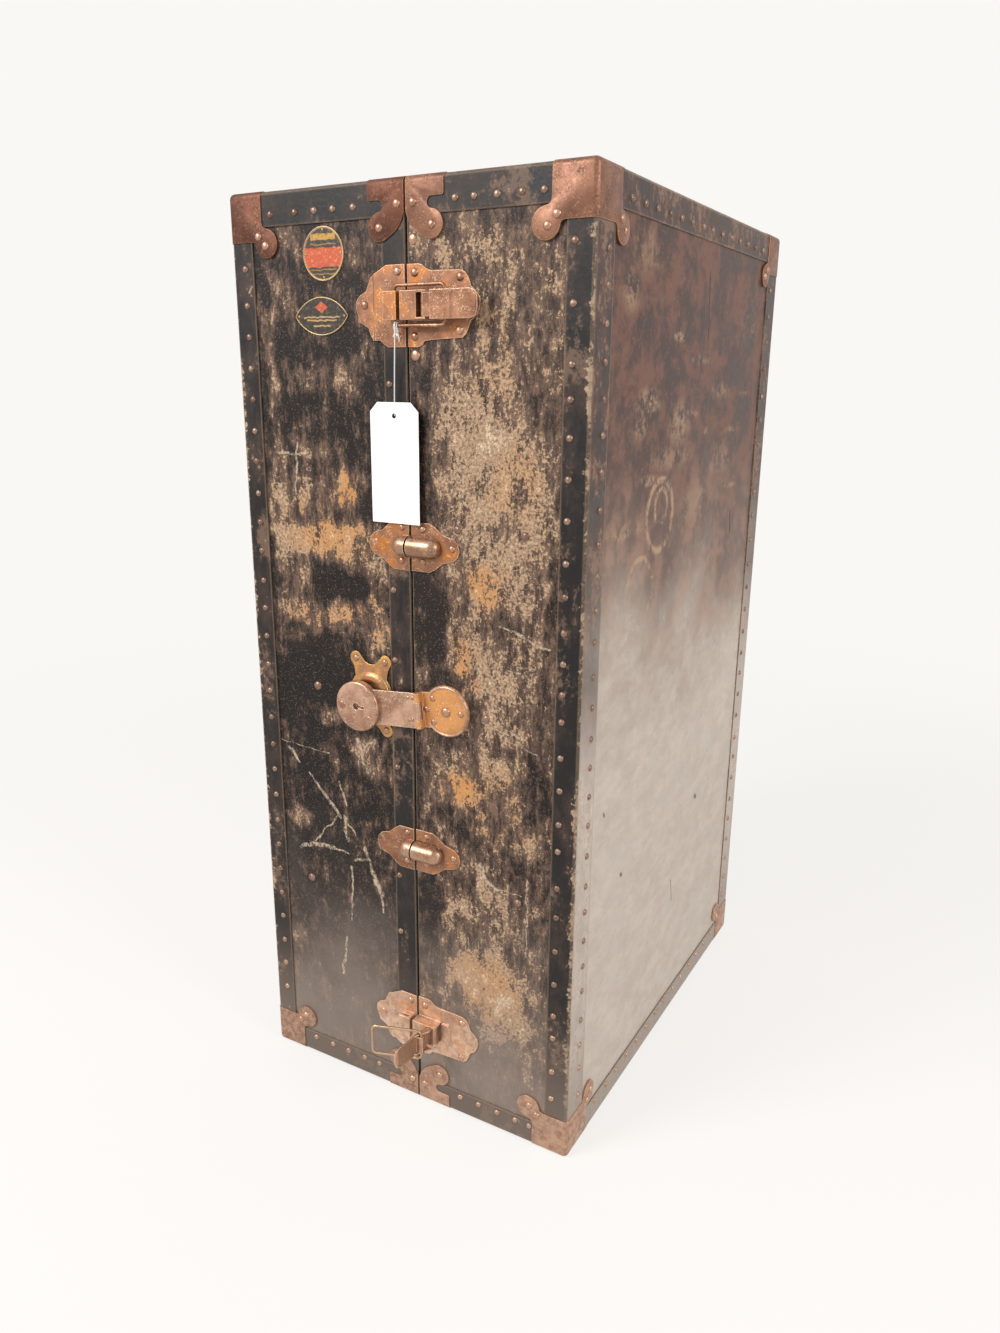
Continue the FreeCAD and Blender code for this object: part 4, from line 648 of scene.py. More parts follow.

# %% [markdown]
# Corner caps and seam caps are drawn steel, coppered, then browned by age. The shader is partly
# metal: patina is dull, and the copper shows through as a warm sheen. Edges are brighter, partly
# rubbed copper and partly a painted highlight, and grime stays dark in clouds. One maker, given
# the tones, serves every metal part.

# %% Finish: coppered steel
def coppered(name, dark, middle, light, rubbed, metal=0.75, rough=(0.34, 0.60), spot=None, seed=0.0,
             dust=(206, 168, 142)):
    """Browned copper plate, given its tones: clouds of patina, flecks, dust low down, and bright edges that
    are rubbed copper and partly a painted highlight.
    """
    material, tree, shader = new_finish(name, metal=metal)
    clouds = mottle(tree, 0.030, detail=5, rough=0.62, seed=seed + 1.0)
    blotches = mottle(tree, 0.008, detail=5, rough=0.68, seed=seed + 2.0)
    specks = mottle(tree, 0.0016, detail=3, rough=0.6, seed=seed + 3.0)
    colour = blend(tree, limit(tree, clouds, 0.32, 0.66), tone(*middle), tone(*light))
    colour = blend(tree, limit(tree, blotches, 0.54, 0.72), colour, tone(*dark))
    if spot is not None:
        stain = limit(tree, maths(tree, "MULTIPLY_ADD", blotches, 0.6, clouds), 0.80, 0.98)
        colour = blend(tree, stain, colour, tone(*spot))
    flecks = limit(tree, sway(tree, specks, blotches, 1.0), 0.57, 0.72, 0.0, 0.4)
    colour = blend(tree, flecks, colour, tone(*rubbed))
    high = split_place(tree)[2]
    fallen = limit(tree, sway(tree, high, clouds, 0.1), 0.26, 0.06, 0.0, 0.66)
    fallen = times(tree, fallen, limit(tree, blotches, 0.36, 0.66, 1.0, 0.35))
    colour = blend(tree, fallen, colour, tone(*dust))
    # Brighter along every edge: rubbed copper, partly a painted highlight.
    edge = edge_mask(tree, 0.0012, blotches)
    colour = blend(tree, times(tree, edge, 0.85), colour, tone(*rubbed))
    height = plus(tree, times(tree, blotches, 0.7), times(tree, specks, 0.3))
    lay(tree, shader, colour, limit(tree, blotches, 0.3, 0.7, *rough), height, 0.00025, soft_edge=0.0009)
    return material


cap_copper = coppered("cap_copper", (46, 27, 20), (104, 68, 52), (138, 96, 74), (214, 164, 130), metal=0.55)
left_cap_copper = coppered("left_cap_copper", (42, 23, 16), (78, 44, 30), (104, 62, 44), (178, 126, 96),
                           metal=0.55, rough=(0.42, 0.66), seed=15.0)
plate_copper = coppered("plate_copper", (56, 32, 22), (122, 80, 58), (160, 114, 86), (244, 206, 172),
                        metal=0.6, spot=(176, 108, 46), seed=20.0, dust=(246, 212, 184))
case_copper = coppered("case_copper", (70, 44, 34), (152, 112, 90), (204, 164, 138), (252, 228, 202),
                       metal=0.7, rough=(0.26, 0.46), seed=30.0)
lever_copper = coppered("lever_copper", (60, 36, 26), (120, 80, 58), (166, 120, 92), (246, 212, 182),
                        metal=0.7, rough=(0.28, 0.48), seed=33.0)
wire_brass = coppered("wire_brass", (86, 66, 44), (146, 118, 84), (184, 156, 118), (230, 208, 172),
                      metal=0.9, rough=(0.25, 0.42), seed=40.0)
dark_steel = coppered("dark_steel", (26, 22, 20), (52, 46, 42), (78, 70, 64), (150, 134, 118),
                      rough=(0.35, 0.6), seed=50.0, dust=(90, 80, 72))
nickel = coppered("nickel_steel", (92, 86, 78), (150, 144, 134), (186, 180, 170), (222, 218, 208),
                  metal=0.95, rough=(0.2, 0.4), seed=60.0, dust=(150, 144, 134))
dish_brass = coppered("dish_brass", (92, 58, 40), (160, 110, 82), (186, 138, 84), (240, 206, 140),
                      metal=0.7, rough=(0.25, 0.45), spot=(206, 150, 58), seed=70.0)
disc_copper = coppered("disc_copper", (120, 74, 38), (188, 128, 74), (214, 156, 98), (244, 212, 176),
                       metal=0.55, spot=(208, 134, 54), seed=75.0)
dress(plate_copper, "latch_plates", "latch_catches", "dowel_pins", "dowel_sockets")
dress(disc_copper, "hasp_anchor")
dress(lever_copper, "upper_lever", "lower_lever", "latch_lever_pins")
dress(case_copper, "hasp_arm", "hasp_pin", "lock_case")
dress(wire_brass, "upper_bail", "lower_bail")
dress(dish_brass, "lock_plate")
dress(dark_steel, "left_hinge_leaves", "right_hinge_leaves", "hinge_pins", "left_seam_rim", "right_seam_rim",
      "handle_loops")
dress(nickel, "seam_tongue", "trolley_rails", "trolley_frame", "hanger_rod")
CAP_FINISH = {"left": left_cap_copper, "right": cap_copper}
for side in SIGN:
    dress(CAP_FINISH[side], f"{side}_corner_caps", f"{side}_seam_caps")
print("finishes so far:", [finish.name for finish in bpy.data.materials])

# %% [markdown]
# A corner cap is one piece of sheet, drawn over the corner in a press. Its edges are round, and on
# each face it ends in a lobe for a rivet. It could be pushed and pulled from a plain box by hand.
# Here each face's outline is drawn flat, as the die maker would cut it, made a few millimetres
# thick, and the three are joined. What they share with a box whose edges are rounded is the cap.

# %% Tools for drawn sheet
import bmesh

CAP_ROUND, CAP_DEEP, CAP_BIG = 6.0, 2.6, 90.0


def turned_arc(x, y, radius, start, end, count):
    """Points of an arc, angles in degrees, in the order they are cut."""
    angles = [math.radians(start + (end - start) * number / count) for number in range(count + 1)]
    return [(x + radius * math.cos(angle), y + radius * math.sin(angle)) for angle in angles]


def held(made, name):
    """A worked mesh as an object, ready for a modifier."""
    mesh = bpy.data.meshes.new(name)
    made.to_mesh(mesh)
    made.free()
    return put(name, mesh)


def plate_between(name, outline, across, along, levels):
    """A flat outline in two of the three axes, made solid between two levels of the third."""
    through = ({0, 1, 2} - {across, along}).pop()
    made = bmesh.new()
    rings = ([], [])
    for u, v in outline:
        for level, ring in zip(levels, rings):
            place = Vector()
            place[across], place[along], place[through] = u, v, level
            ring.append(made.verts.new(place))
    made.faces.new(rings[0])
    made.faces.new(rings[1])
    for number in range(len(outline)):
        after = (number + 1) % len(outline)
        made.faces.new((rings[0][number], rings[0][after], rings[1][after], rings[1][number]))
    bmesh.ops.recalc_face_normals(made, faces=made.faces)
    return held(made, name)


def rounded_block(sharp_axes):
    """A block at the outer corner, with the edges that meet there rounded, except the axes named."""
    made = bmesh.new()
    bmesh.ops.create_cube(made, size=CAP_BIG, matrix=Matrix.Translation((CAP_BIG / 2,) * 3))
    edges = []
    for edge in made.edges:
        first, second = (vert.co for vert in edge.verts)
        axis = max(range(3), key=lambda number: abs(first[number] - second[number]))
        at_corner = min(first.length, second.length) < 0.01
        if axis not in sharp_axes and at_corner:
            edges.append(edge)
    bmesh.ops.bevel(made, geom=edges, offset=CAP_ROUND, segments=7, profile=0.5, affect="EDGES")
    bmesh.ops.recalc_face_normals(made, faces=made.faces)
    return held(made, "block")


def as_mesh(maker):
    """The mesh of a piece or curve as its modifiers and bevel leave it."""
    return bpy.data.meshes.new_from_object(maker.evaluated_get(bpy.context.evaluated_depsgraph_get()))


def worked(base):
    """The piece with its modifiers made real."""
    base.data = as_mesh(base)
    base.modifiers.clear()
    return base


def combined(base, others, operation):
    """The base after a boolean with each of the others, which are then thrown away."""
    for other in others:
        cut = base.modifiers.new("cut", "BOOLEAN")
        cut.operation, cut.object, cut.solver = operation, other, "EXACT"
    worked(base)
    for other in others:
        bpy.data.objects.remove(other)
    return base


def softened(base, width, angle):
    """The piece with every edge over the angle, in degrees, eased by the width."""
    soft = base.modifiers.new("soft", "BEVEL")
    soft.width, soft.segments, soft.limit_method, soft.angle_limit = width, 2, "ANGLE", math.radians(angle)
    return worked(base)


def pressed_cap(name, outlines, sharp_axes):
    """One cap at the origin, its arms along +x, +y and +z, in millimetres."""
    plates = [plate_between("plate", *outline, (-0.5, CAP_DEEP)) for outline in outlines]
    cap = combined(plates[0], plates[1:], "UNION")
    cap = softened(combined(cap, [rounded_block(sharp_axes)], "INTERSECT"), 0.5, 40)
    print(name, "faces:", len(cap.data.polygons))
    return cap


# %% [markdown]
# The outlines are in millimetres from the outer corner. A corner cap has a long arm along the
# case's edges, and its lobe hangs where the two arms would meet. The cap at the seam is narrow:
# a round notch divides its top band from the lobe, so the rivet in the lobe can pull it flat.

# %% Press the caps
def lobed_corner(wide, tall, lobe_x, lobe_y, lobe):
    outline = [(0, 0), (wide, 0), (wide, tall - lobe - 4.5), (wide + 0.5, tall - lobe - 1.6),
               (wide + 2.2, tall - lobe + 0.6)] + turned_arc(lobe_x, lobe_y, lobe, -78, 176, 26)
    return outline + [(lobe_x - lobe - 1.6, tall + 0.9), (lobe_x - lobe - 4.2, tall), (0, tall)]


corner_cap = pressed_cap("corner_cap", [
    (lobed_corner(44, 48, 49.5, 50, 14), 0, 2), (lobed_corner(50, 48, 56, 51, 13.5), 1, 2),
    ([(0, 0), (44, 0), (44, 50), (38, 57), (0, 57)], 0, 1)], ())
seam_outline = [(0, 0), (42, 0), (42, 17.5), (41.4, 19), (40, 19.5), (30, 19.5)]
seam_outline += turned_arc(29, 24.7, 5.2, 270, 108, 10) + turned_arc(28, 43, 13, -84, 122, 22)
seam_outline += [(14.5, 50.4), (8, 45.5), (3, 38.5), (0, 31)]
seam_cap = pressed_cap("seam_cap", [
    (seam_outline, 0, 2), ([(0, 0), (42, 0), (42, 26), (38, 30), (0, 30)], 0, 1)], (1, 2))


def mirrored_copies(name, master, places):
    """The master set at each (corner, signs) place. An odd number of flips turns a copy inside out."""
    made = bmesh.new()
    for corner, signs in places:
        first_vert, first_face = len(made.verts), len(made.faces)
        made.from_mesh(master.data)
        made.verts.ensure_lookup_table()
        made.faces.ensure_lookup_table()
        for vert in made.verts[first_vert:]:
            vert.co = Vector(corner) + vert.co * Vector(signs) * MM
        if signs[0] * signs[1] * signs[2] < 0:
            bmesh.ops.reverse_faces(made, faces=made.faces[first_face:])
    piece = held(made, name)
    print(name, "faces:", len(piece.data.polygons))
    return piece


for side, sign in SIGN.items():
    for kind, pressed, master, way in (("corner_caps", "pressed_corners", corner_cap, -sign),
                                       ("seam_caps", "pressed_seam_caps", seam_cap, sign)):
        low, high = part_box(f"{side}_{kind}")
        x = low.x if way > 0 else high.x
        corners = [((x, y, z), (way, deeper, upper))
                   for y, deeper in ((low.y, 1), (high.y, -1)) for z, upper in ((low.z, 1), (high.z, -1))]
        caps = mirrored_copies(f"{side}_{pressed}", master, corners)
        fit(caps, CAP_FINISH[side], f"{side}_half", f"{side}_{kind}", sharp=42)
for master in (corner_cap, seam_cap):
    bpy.data.objects.remove(master)

# %% [markdown]
# The latch wires are bent from one round rod, so their corners are arcs, not mitres. A tube is
# swept along the four sides of the loop. The lower loop hangs open and leans out from the front,
# so its plane is taken from the two ends of its solid part. WIRE is the solid's radius; the wires
# that are seen are a little thicker, the lower one less so, because it passes close by its catch.

# %% Bend the latch wires
WIRE, WIRE_SEEN = 0.0014, {"upper_bail": 0.00175, "lower_bail": 0.0015}


def tube_loop(name, points, radius, sides=10):
    """A closed tube through the points, as one piece."""
    count = len(points)
    middle = sum(points, Vector()) / count
    verts, faces = [], []
    for number, place in enumerate(points):
        along = (points[(number + 1) % count] - points[number - 1]).normalized()
        out = place - middle
        out = (out - along * out.dot(along)).normalized()
        over = along.cross(out)
        verts += [place + (out * u + over * v) * radius for u, v in circle(1, sides)]
    for number in range(count):
        after = (number + 1) % count
        for turn in range(sides):
            a, b = number * sides + turn, number * sides + (turn + 1) % sides
            faces.append((a, b, after * sides + (turn + 1) % sides, after * sides + turn))
    return from_points(name, verts, faces)


def rounded_loop(eye, far, half_tall, middle_z, corner=0.005):
    """Points round a rectangle from its eye side to its far side, upright, with round corners."""
    run = Vector((far[0] - eye[0], far[1] - eye[1], 0))
    long, along = run.length, run.normalized()
    points = []
    for x, z, start in ((long - corner, half_tall - corner, 90), (long - corner, corner - half_tall, 0),
                        (corner, corner - half_tall, 270), (corner, half_tall - corner, 180)):
        for across, up in turned_arc(x, z, corner, start, start - 90, 6):
            points.append(Vector((eye[0], eye[1], middle_z)) + along * across + Vector((0, 0, up)))
    return points


for name, finish, leans in (("upper_bail", lever_copper, False), ("lower_bail", wire_brass, True)):
    low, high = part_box(name)
    middle_y = (low.y + high.y) / 2
    eye = (high.x - WIRE, high.y - WIRE if leans else middle_y)
    far = (low.x + WIRE, low.y + WIRE if leans else middle_y)
    loop = rounded_loop(eye, far, (high.z - low.z) / 2 - WIRE, (low.z + high.z) / 2)
    fit(tube_loop(f"{name}_wire", loop, WIRE_SEEN[name]), finish, name, name)
    print(name, "wire from", [round(x, 4) for x in eye], "to", [round(x, 4) for x in far])

# %% [markdown]
# The lock case is round, and so is the dish in the plate behind it. A lathe makes both: a short
# profile of radius and height is spun about its axis. The case has a soft rim and a stud behind,
# and its keyhole is cut into the face as a boolean, because a painted keyhole has no depth.

# %% Turn the lock case
def spun(name, profile, centre, sides=64):
    """A profile of (radius, height) spun about an axis that points straight out of the front."""
    made = bmesh.new()
    rings = []
    for x, z in circle(1, sides):
        rings.append([made.verts.new(Vector(centre) + Vector((x * radius, -height, z * radius)))
                      for radius, height in profile])
    for number in range(sides):
        here, after = rings[number], rings[(number + 1) % sides]
        for place in range(len(profile) - 1):
            made.faces.new((here[place], after[place], after[place + 1], here[place + 1]))
    bmesh.ops.remove_doubles(made, verts=made.verts, dist=1e-7)
    bmesh.ops.recalc_face_normals(made, faces=made.faces)
    return held(made, name)


low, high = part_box("lock_case")
CASE_RADIUS = (high.z - low.z) / 2
CASE_X, CASE_Z, CASE_FACE = low.x + CASE_RADIUS, (low.z + high.z) / 2, low.y
CASE_THICK, STUD_RADIUS, STUD_LONG = 0.0080, 0.0035, 0.0040
CASE_RIM, CASE_BEVEL = 0.0022, 0.0008
profile = [(0, -CASE_THICK - STUD_LONG), (STUD_RADIUS, -CASE_THICK - STUD_LONG), (STUD_RADIUS, -CASE_THICK),
           (CASE_RADIUS - CASE_BEVEL, -CASE_THICK), (CASE_RADIUS, -CASE_THICK + CASE_BEVEL)]
profile += turned_arc(CASE_RADIUS - CASE_RIM, -CASE_RIM, CASE_RIM, 0, 90, 6)
profile += [(CASE_RADIUS - 0.0060, 0.0), (CASE_RADIUS - 0.0090, -0.0004), (0, -0.0004)]
lock_case = spun("turned_lock_case", profile, (CASE_X, CASE_FACE, CASE_Z))
keyhole = [(CASE_X + x * MM, CASE_Z + z * MM) for x, z in
           turned_arc(-1.5, 0, 3.9, 22, 338, 18) + [(9.6, -1.3), (10.2, 0), (9.6, 1.3)]]
cutter = plate_between("keyhole", keyhole, 0, 2, (CASE_FACE - 0.002, CASE_FACE + 0.006))
combined(lock_case, [cutter], "DIFFERENCE")
fit(lock_case, case_copper, "hasp", "lock_case", sharp=35)
print("lock case radius:", round(CASE_RADIUS, 4), "faces:", len(lock_case.data.polygons))

# %% [markdown]
# The two badges are thin plates that were painted and lacquered. They stay blank: bands and a
# diamond in old yellow and orange on a dark ground say badge without saying whose. The pattern is
# set out from each badge's middle, its lines waver a little, and a mottle rubs it thin.

# %% Finish: painted badges
badge, tree, shader = new_finish("badge_paint", metal=0.2, shine=0.6)
low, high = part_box("badge_plates")
ROUND = (SEAM - 0.100, high.z - 0.0255)
OVAL = (SEAM - 0.105, low.z + 0.0185)
SOFT_LINE = 0.0004
x, _, z = split_place(tree)
wobble = maths(tree, "MULTIPLY_ADD", mottle(tree, 0.006, detail=4, seed=81), 0.004, -0.002)


def band(low_edge, high_edge, centre):
    """1 between two heights about a badge's middle."""
    rise = plus(tree, maths(tree, "SUBTRACT", z, centre[1]), wobble)
    above = limit(tree, rise, low_edge - SOFT_LINE, low_edge + SOFT_LINE)
    below = limit(tree, rise, high_edge + SOFT_LINE, high_edge - SOFT_LINE)
    return times(tree, above, below)


def bar(low_edge, high_edge, half_wide, centre):
    """1 on a bar about a badge's middle."""
    wide = limit(tree, far_from(tree, x, centre[0]), half_wide + SOFT_LINE, half_wide - SOFT_LINE)
    return times(tree, band(low_edge, high_edge, centre), wide)


def disc(radius, centre):
    away = measured(tree, "DISTANCE", front_place(tree), (centre[0], 0, centre[1]))
    return limit(tree, away, radius + 0.0005, radius - 0.0005)


rubbed = limit(tree, mottle(tree, 0.004, detail=5, rough=0.7, seed=83), 0.50, 0.62)
ground = blend(tree, rubbed, tone(34, 27, 20), tone(84, 68, 46))
orange = blend(tree, rubbed, tone(176, 70, 34), tone(196, 116, 70))
yellow = blend(tree, rubbed, tone(172, 130, 46), tone(104, 82, 42))
colour = blend(tree, band(-0.0125, 0.0055, ROUND), ground, orange)
colour = blend(tree, bar(0.0125, 0.0185, 0.0155, ROUND), colour, yellow)
for level in (-0.0150, -0.0190, 0.0085):
    line = bar(level - 0.0005, level + 0.0005, 0.016, ROUND)
    colour = blend(tree, times(tree, line, 0.7), colour, yellow)
colour = blend(tree, disc(0.0235, ROUND), tone(170, 134, 92), colour)
is_round = limit(tree, z, OVAL[1] + 0.024, OVAL[1] + 0.026)
climb = far_from(tree, z, OVAL[1] + 0.0085)
diamond = maths(tree, "MULTIPLY_ADD", climb, 1.5, far_from(tree, x, OVAL[0]))
diamond = limit(tree, diamond, 0.0086, 0.0080)
oval_tone = blend(tree, diamond, ground, orange)
for level, reach in ((-0.0010, 0.0230), (-0.0040, 0.0190), (-0.0090, 0.0110)):
    oval_tone = blend(tree, bar(level - 0.0007, level + 0.0007, reach, OVAL), oval_tone, tone(170, 140, 90))
colour = blend(tree, is_round, oval_tone, colour)
lay(tree, shader, colour, 0.38, mottle(tree, 0.003, detail=3, seed=85), 0.0002)
dress(badge, "badge_plates")
badge_brass = coppered("badge_brass", (84, 60, 36), (150, 116, 74), (184, 150, 104), (226, 196, 150),
                       metal=0.6, rough=(0.3, 0.5), seed=140.0)
print("round badge at", ROUND, "oval badge at", OVAL)

# %% [markdown]
# The plate under the lock case is cut in the shape of a shield: a disc with four ears, each ear
# held by a rivet. In its middle is a dish with a worn brass ring, where the lock's stud goes in.
# The ears and disc are one outline, so their hollows are real curves, and the dish is turned.

# %% Cut the lock plate
low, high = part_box("lock_plate")
PLATE_X, PLATE_Z = (low.x + high.x) / 2, (low.z + high.z) / 2
PLATE_FACE = FRONT_Y - 0.0015
EAR_X, EAR_Z, EAR = 19.4, 38.6, 7.8


def shield_outline():
    """A quarter of the plate, from its right side up to its top, mirrored round."""
    quarter = turned_arc(0, 0, 28.0, 0, 42, 8) + [(21.6, 24.5), (22.6, 29.5), (25.0, 33.4)]
    quarter += turned_arc(EAR_X, EAR_Z, EAR, -22, 118, 12)
    quarter += [(12.6, 41.8), (8.0, 36.6), (4.0, 34.4), (0, 33.8)]
    upper = quarter + [(-x, z) for x, z in reversed(quarter[:-1])]
    return upper + [(x, -z) for x, z in reversed(upper[1:-1])]


shield_places = [(PLATE_X + x * MM, PLATE_Z + z * MM) for x, z in shield_outline()]
shield = plate_between("lock_shield", shield_places, 0, 2, (PLATE_FACE, FRONT_Y))
HOLLOW = 0.0132
DISH = [(0, -0.0014), (HOLLOW, -0.0014), (HOLLOW, 0.0008), (0.0150, 0.0024), (0.0185, 0.0030),
        (0.0225, 0.0024), (0.0245, 0.0005), (0.0245, -0.0014)]
DRILL = [(0, 0.0060), (HOLLOW, 0.0060), (HOLLOW, -0.0010), (0, -0.0010)]
dish_middle = (PLATE_X, PLATE_FACE, PLATE_Z)
combined(shield, [spun("lock_dish", DISH, dish_middle, sides=48)], "UNION")
combined(shield, [spun("dish_hollow", DRILL, dish_middle, sides=48)], "DIFFERENCE")
softened(shield, 0.0003, 50)
fit(shield, dish_brass, "left_half", "lock_plate", sharp=40)
print("shield faces:", len(shield.data.polygons))

# %% [markdown]
# Each dowel has a pressed cover, half on each case. It is half a capsule lying on its plate. All
# its points lie on a shape with no hollows, so a convex hull round them gives the closed cover,
# and there is no need to list its faces.

# %% Press the dowel covers
COVER = 0.01115
COVER_BASE = FRONT_Y - 0.0030
COVER_GAP, COVER_REACH = 1.0, {"left": 19.4, "right": 37.4}
DOWELS = (671, 330)
ARC_STEPS = 12


def half_capsule(name, side, z):
    """A cover from its flat end at the seam to its round end."""
    sign = SIGN[side]
    flat_x = SEAM + sign * COVER_GAP * MM
    centre_x = SEAM + sign * (COVER_REACH[side] * MM - COVER)
    made = bmesh.new()
    for number in range(ARC_STEPS + 1):
        up = math.pi * number / ARC_STEPS - math.pi / 2
        reach, rise = COVER * math.cos(up), COVER * math.sin(up)
        made.verts.new((flat_x, COVER_BASE - reach, z + rise))
        for lap in range(ARC_STEPS // 2 + 1):
            aside = math.pi * lap / ARC_STEPS
            x = centre_x + sign * reach * math.sin(aside)
            made.verts.new((x, COVER_BASE - reach * math.cos(aside), z + rise))
    bmesh.ops.remove_doubles(made, verts=made.verts, dist=1e-6)
    bmesh.ops.convex_hull(made, input=made.verts)
    bmesh.ops.dissolve_limit(made, angle_limit=math.radians(1), verts=made.verts, edges=made.edges)
    bmesh.ops.recalc_face_normals(made, faces=made.faces)
    return held(made, name)


cover_steel = coppered("cover_steel", (74, 50, 38), (134, 98, 76), (176, 138, 112), (250, 226, 200),
                       metal=0.8, rough=(0.24, 0.42), seed=130.0)
for number, height in enumerate(DOWELS):
    for side in SIGN:
        cover = half_capsule(f"{side}_dowel_cover_{number + 1}", side, height * MM)
        fit(cover, cover_steel, f"{side}_half", sharp=40)
print("dowel covers at", DOWELS, "mm up, radius:", COVER)

# %% [markdown]
# The round plate that anchors the hasp has a raised bead round its edge, open where the hinge
# is. A bead is a half-sunk rod, so a curve with a round bevel gives it, set at the plate's face.
# The badges have thin brass rims, which are closed loops of finer wire.

# %% Bead the anchor and rim the badges
def bent_rod(name, points, radius):
    """An open rod with closed ends through the points, as a mesh piece."""
    curve = bpy.data.curves.new(name, "CURVE")
    curve.dimensions = "3D"
    curve.bevel_depth, curve.bevel_resolution, curve.use_fill_caps = radius, 3, True
    line = curve.splines.new("POLY")
    line.points.add(len(points) - 1)
    for point, place in zip(line.points, points):
        point.co = (*place, 1)
    maker = put(name + "_maker", curve)
    mesh = as_mesh(maker)
    bpy.data.objects.remove(maker)
    return put(name, mesh)


ANCHOR_FACE = FRONT_Y - 0.0025
BEAD = [(SEAM + x * MM, ANCHOR_FACE, z * MM) for x, z in turned_arc(42.5, 500.5, 26.2, -142, 142, 48)]
fit(bent_rod("anchor_bead", BEAD, 0.0016), case_copper, "right_half")

BADGE_FACE = FRONT_Y - 0.0008
OVAL_WIDE, OVAL_HIGH = 33.4, 17.9
oval_radius = (OVAL_WIDE ** 2 + OVAL_HIGH ** 2) / (2 * OVAL_HIGH)
oval_turn = math.degrees(math.asin(OVAL_WIDE / oval_radius))
oval_line = turned_arc(0, OVAL_HIGH - oval_radius, oval_radius, 90 + oval_turn, 90 - oval_turn, 18)
oval_line += turned_arc(0, oval_radius - OVAL_HIGH, oval_radius, 270 + oval_turn, 270 - oval_turn, 18)[1:-1]
for name, centre, line in (("round_badge_rim", ROUND, turned_arc(0, 0, 24.8, 0, 352.5, 47)),
                           ("oval_badge_rim", OVAL, oval_line)):
    points = [Vector((centre[0] + x * MM, BADGE_FACE, centre[1] + z * MM)) for x, z in line]
    fit(tube_loop(name, points, 0.0006, sides=8), badge_brass, "left_half")
print("bead points:", len(BEAD), "oval badge rim radius:", round(oval_radius, 1), "mm")

# %% [markdown]
# Paper, card and cotton have no shine. The card is white with a faint tooth. The string gets its
# twist from a wave of slanting bands. The lining is an old blue-grey paper with a small printed
# sprig, faded and foxed. The sprig is only dots of a cell pattern, so it names no maker.

# %% Finish: card, cotton and lining paper
card, tree, shader = new_finish("tag_card", shine=0.3)
tooth = mottle(tree, 0.0008, detail=4, seed=90)
clouds = limit(tree, mottle(tree, 0.02, seed=91), 0.4, 0.7)
colour = blend(tree, clouds, tone(244, 244, 243), tone(234, 234, 234))
lay(tree, shader, colour, 0.75, tooth, 0.00004)
dress(card, "hang_tag")

cotton, tree, shader = new_finish("tag_cotton", shine=0.2)
twist = step(tree, "ShaderNodeTexWave", {
    "Vector": place_on_trunk(tree), "Scale": 420.0, "Distortion": 2.0, "Detail": 1.0},
    wave_type="BANDS", bands_direction="DIAGONAL").outputs["Fac"]
colour = blend(tree, twist, tone(196, 192, 184), tone(246, 244, 240))
lay(tree, shader, colour, 0.85, twist, 0.0002)
string.data.materials.append(cotton)

lining, tree, shader = new_finish("lining_paper", shine=0.25)
faded = mottle(tree, 0.15, detail=5, seed=95)
foxing = limit(tree, mottle(tree, 0.02, detail=6, rough=0.7, seed=96), 0.60, 0.72)
cells = step(tree, "ShaderNodeTexVoronoi", {
    "Vector": place_on_trunk(tree), "Scale": 70.0, "Randomness": 0.35}).outputs["Distance"]
ground = blend(tree, limit(tree, faded, 0.35, 0.7), tone(112, 124, 132), tone(146, 150, 146))
colour = blend(tree, limit(tree, cells, 0.30, 0.24, 0.0, 0.55), ground, tone(186, 180, 160))
colour = blend(tree, times(tree, foxing, 0.5), colour, tone(128, 104, 76))
lay(tree, shader, colour, 0.8, mottle(tree, 0.002, seed=97), 0.0001)
dress(lining, "left_lining", "right_lining", "drawer_shelf")

# %% [markdown]
# Wood shows its growth as bands that run the length of a board. The bands come from a wave
# pattern that is drawn out along the grain and bent by noise. The hangers and the drawer sides
# are boards on edge, so one grain serves both: it runs level, and its bands lie over each other.

# %% Finish: drawer wood and hanger wood
def wood(name, light, dark, ring, seed):
    material, tree, shader = new_finish(name, shine=0.4)
    where = step(tree, "ShaderNodeMapping", {
        "Vector": place_on_trunk(tree), "Scale": (0.12, 0.06, 1), "Location": (seed, 0, seed)}).outputs[0]
    rings = step(tree, "ShaderNodeTexWave", {
        "Vector": where, "Scale": ring, "Distortion": 5.0, "Detail": 3.0, "Detail Scale": 2.0},
        wave_type="BANDS", bands_direction="Z").outputs["Fac"]
    pores = step(tree, "ShaderNodeTexNoise", {"Vector": where, "Scale": 900.0, "Detail": 3.0}).outputs[0]
    colour = blend(tree, limit(tree, rings, 0.2, 0.9, 0.0, 0.8), light, dark)
    colour = blend(tree, limit(tree, pores, 0.55, 0.7, 0.0, 0.4), colour, dark)
    lay(tree, shader, colour, limit(tree, pores, 0.3, 0.7, 0.42, 0.6), pores, 0.0001)
    return material


drawer_wood = wood("drawer_wood", tone(176, 138, 96), tone(148, 112, 75), 22.0, 3.0)
hanger_wood = wood("hanger_wood", tone(168, 120, 74), tone(112, 72, 42), 40.0, 6.0)
dress(hanger_wood, "hangers")
DRAWERS = ("drawer_1", "drawer_2", "drawer_3", "drawer_4")
dress(drawer_wood, "drawer_runners", *[f"{drawer}_tray" for drawer in DRAWERS])

# %% [markdown]
# The drawer fronts are covered with a ribbed cloth in the lining's blue-grey, darker where
# fingers reach for the tab. Ribs are a fine wave; threads are a second one across it.

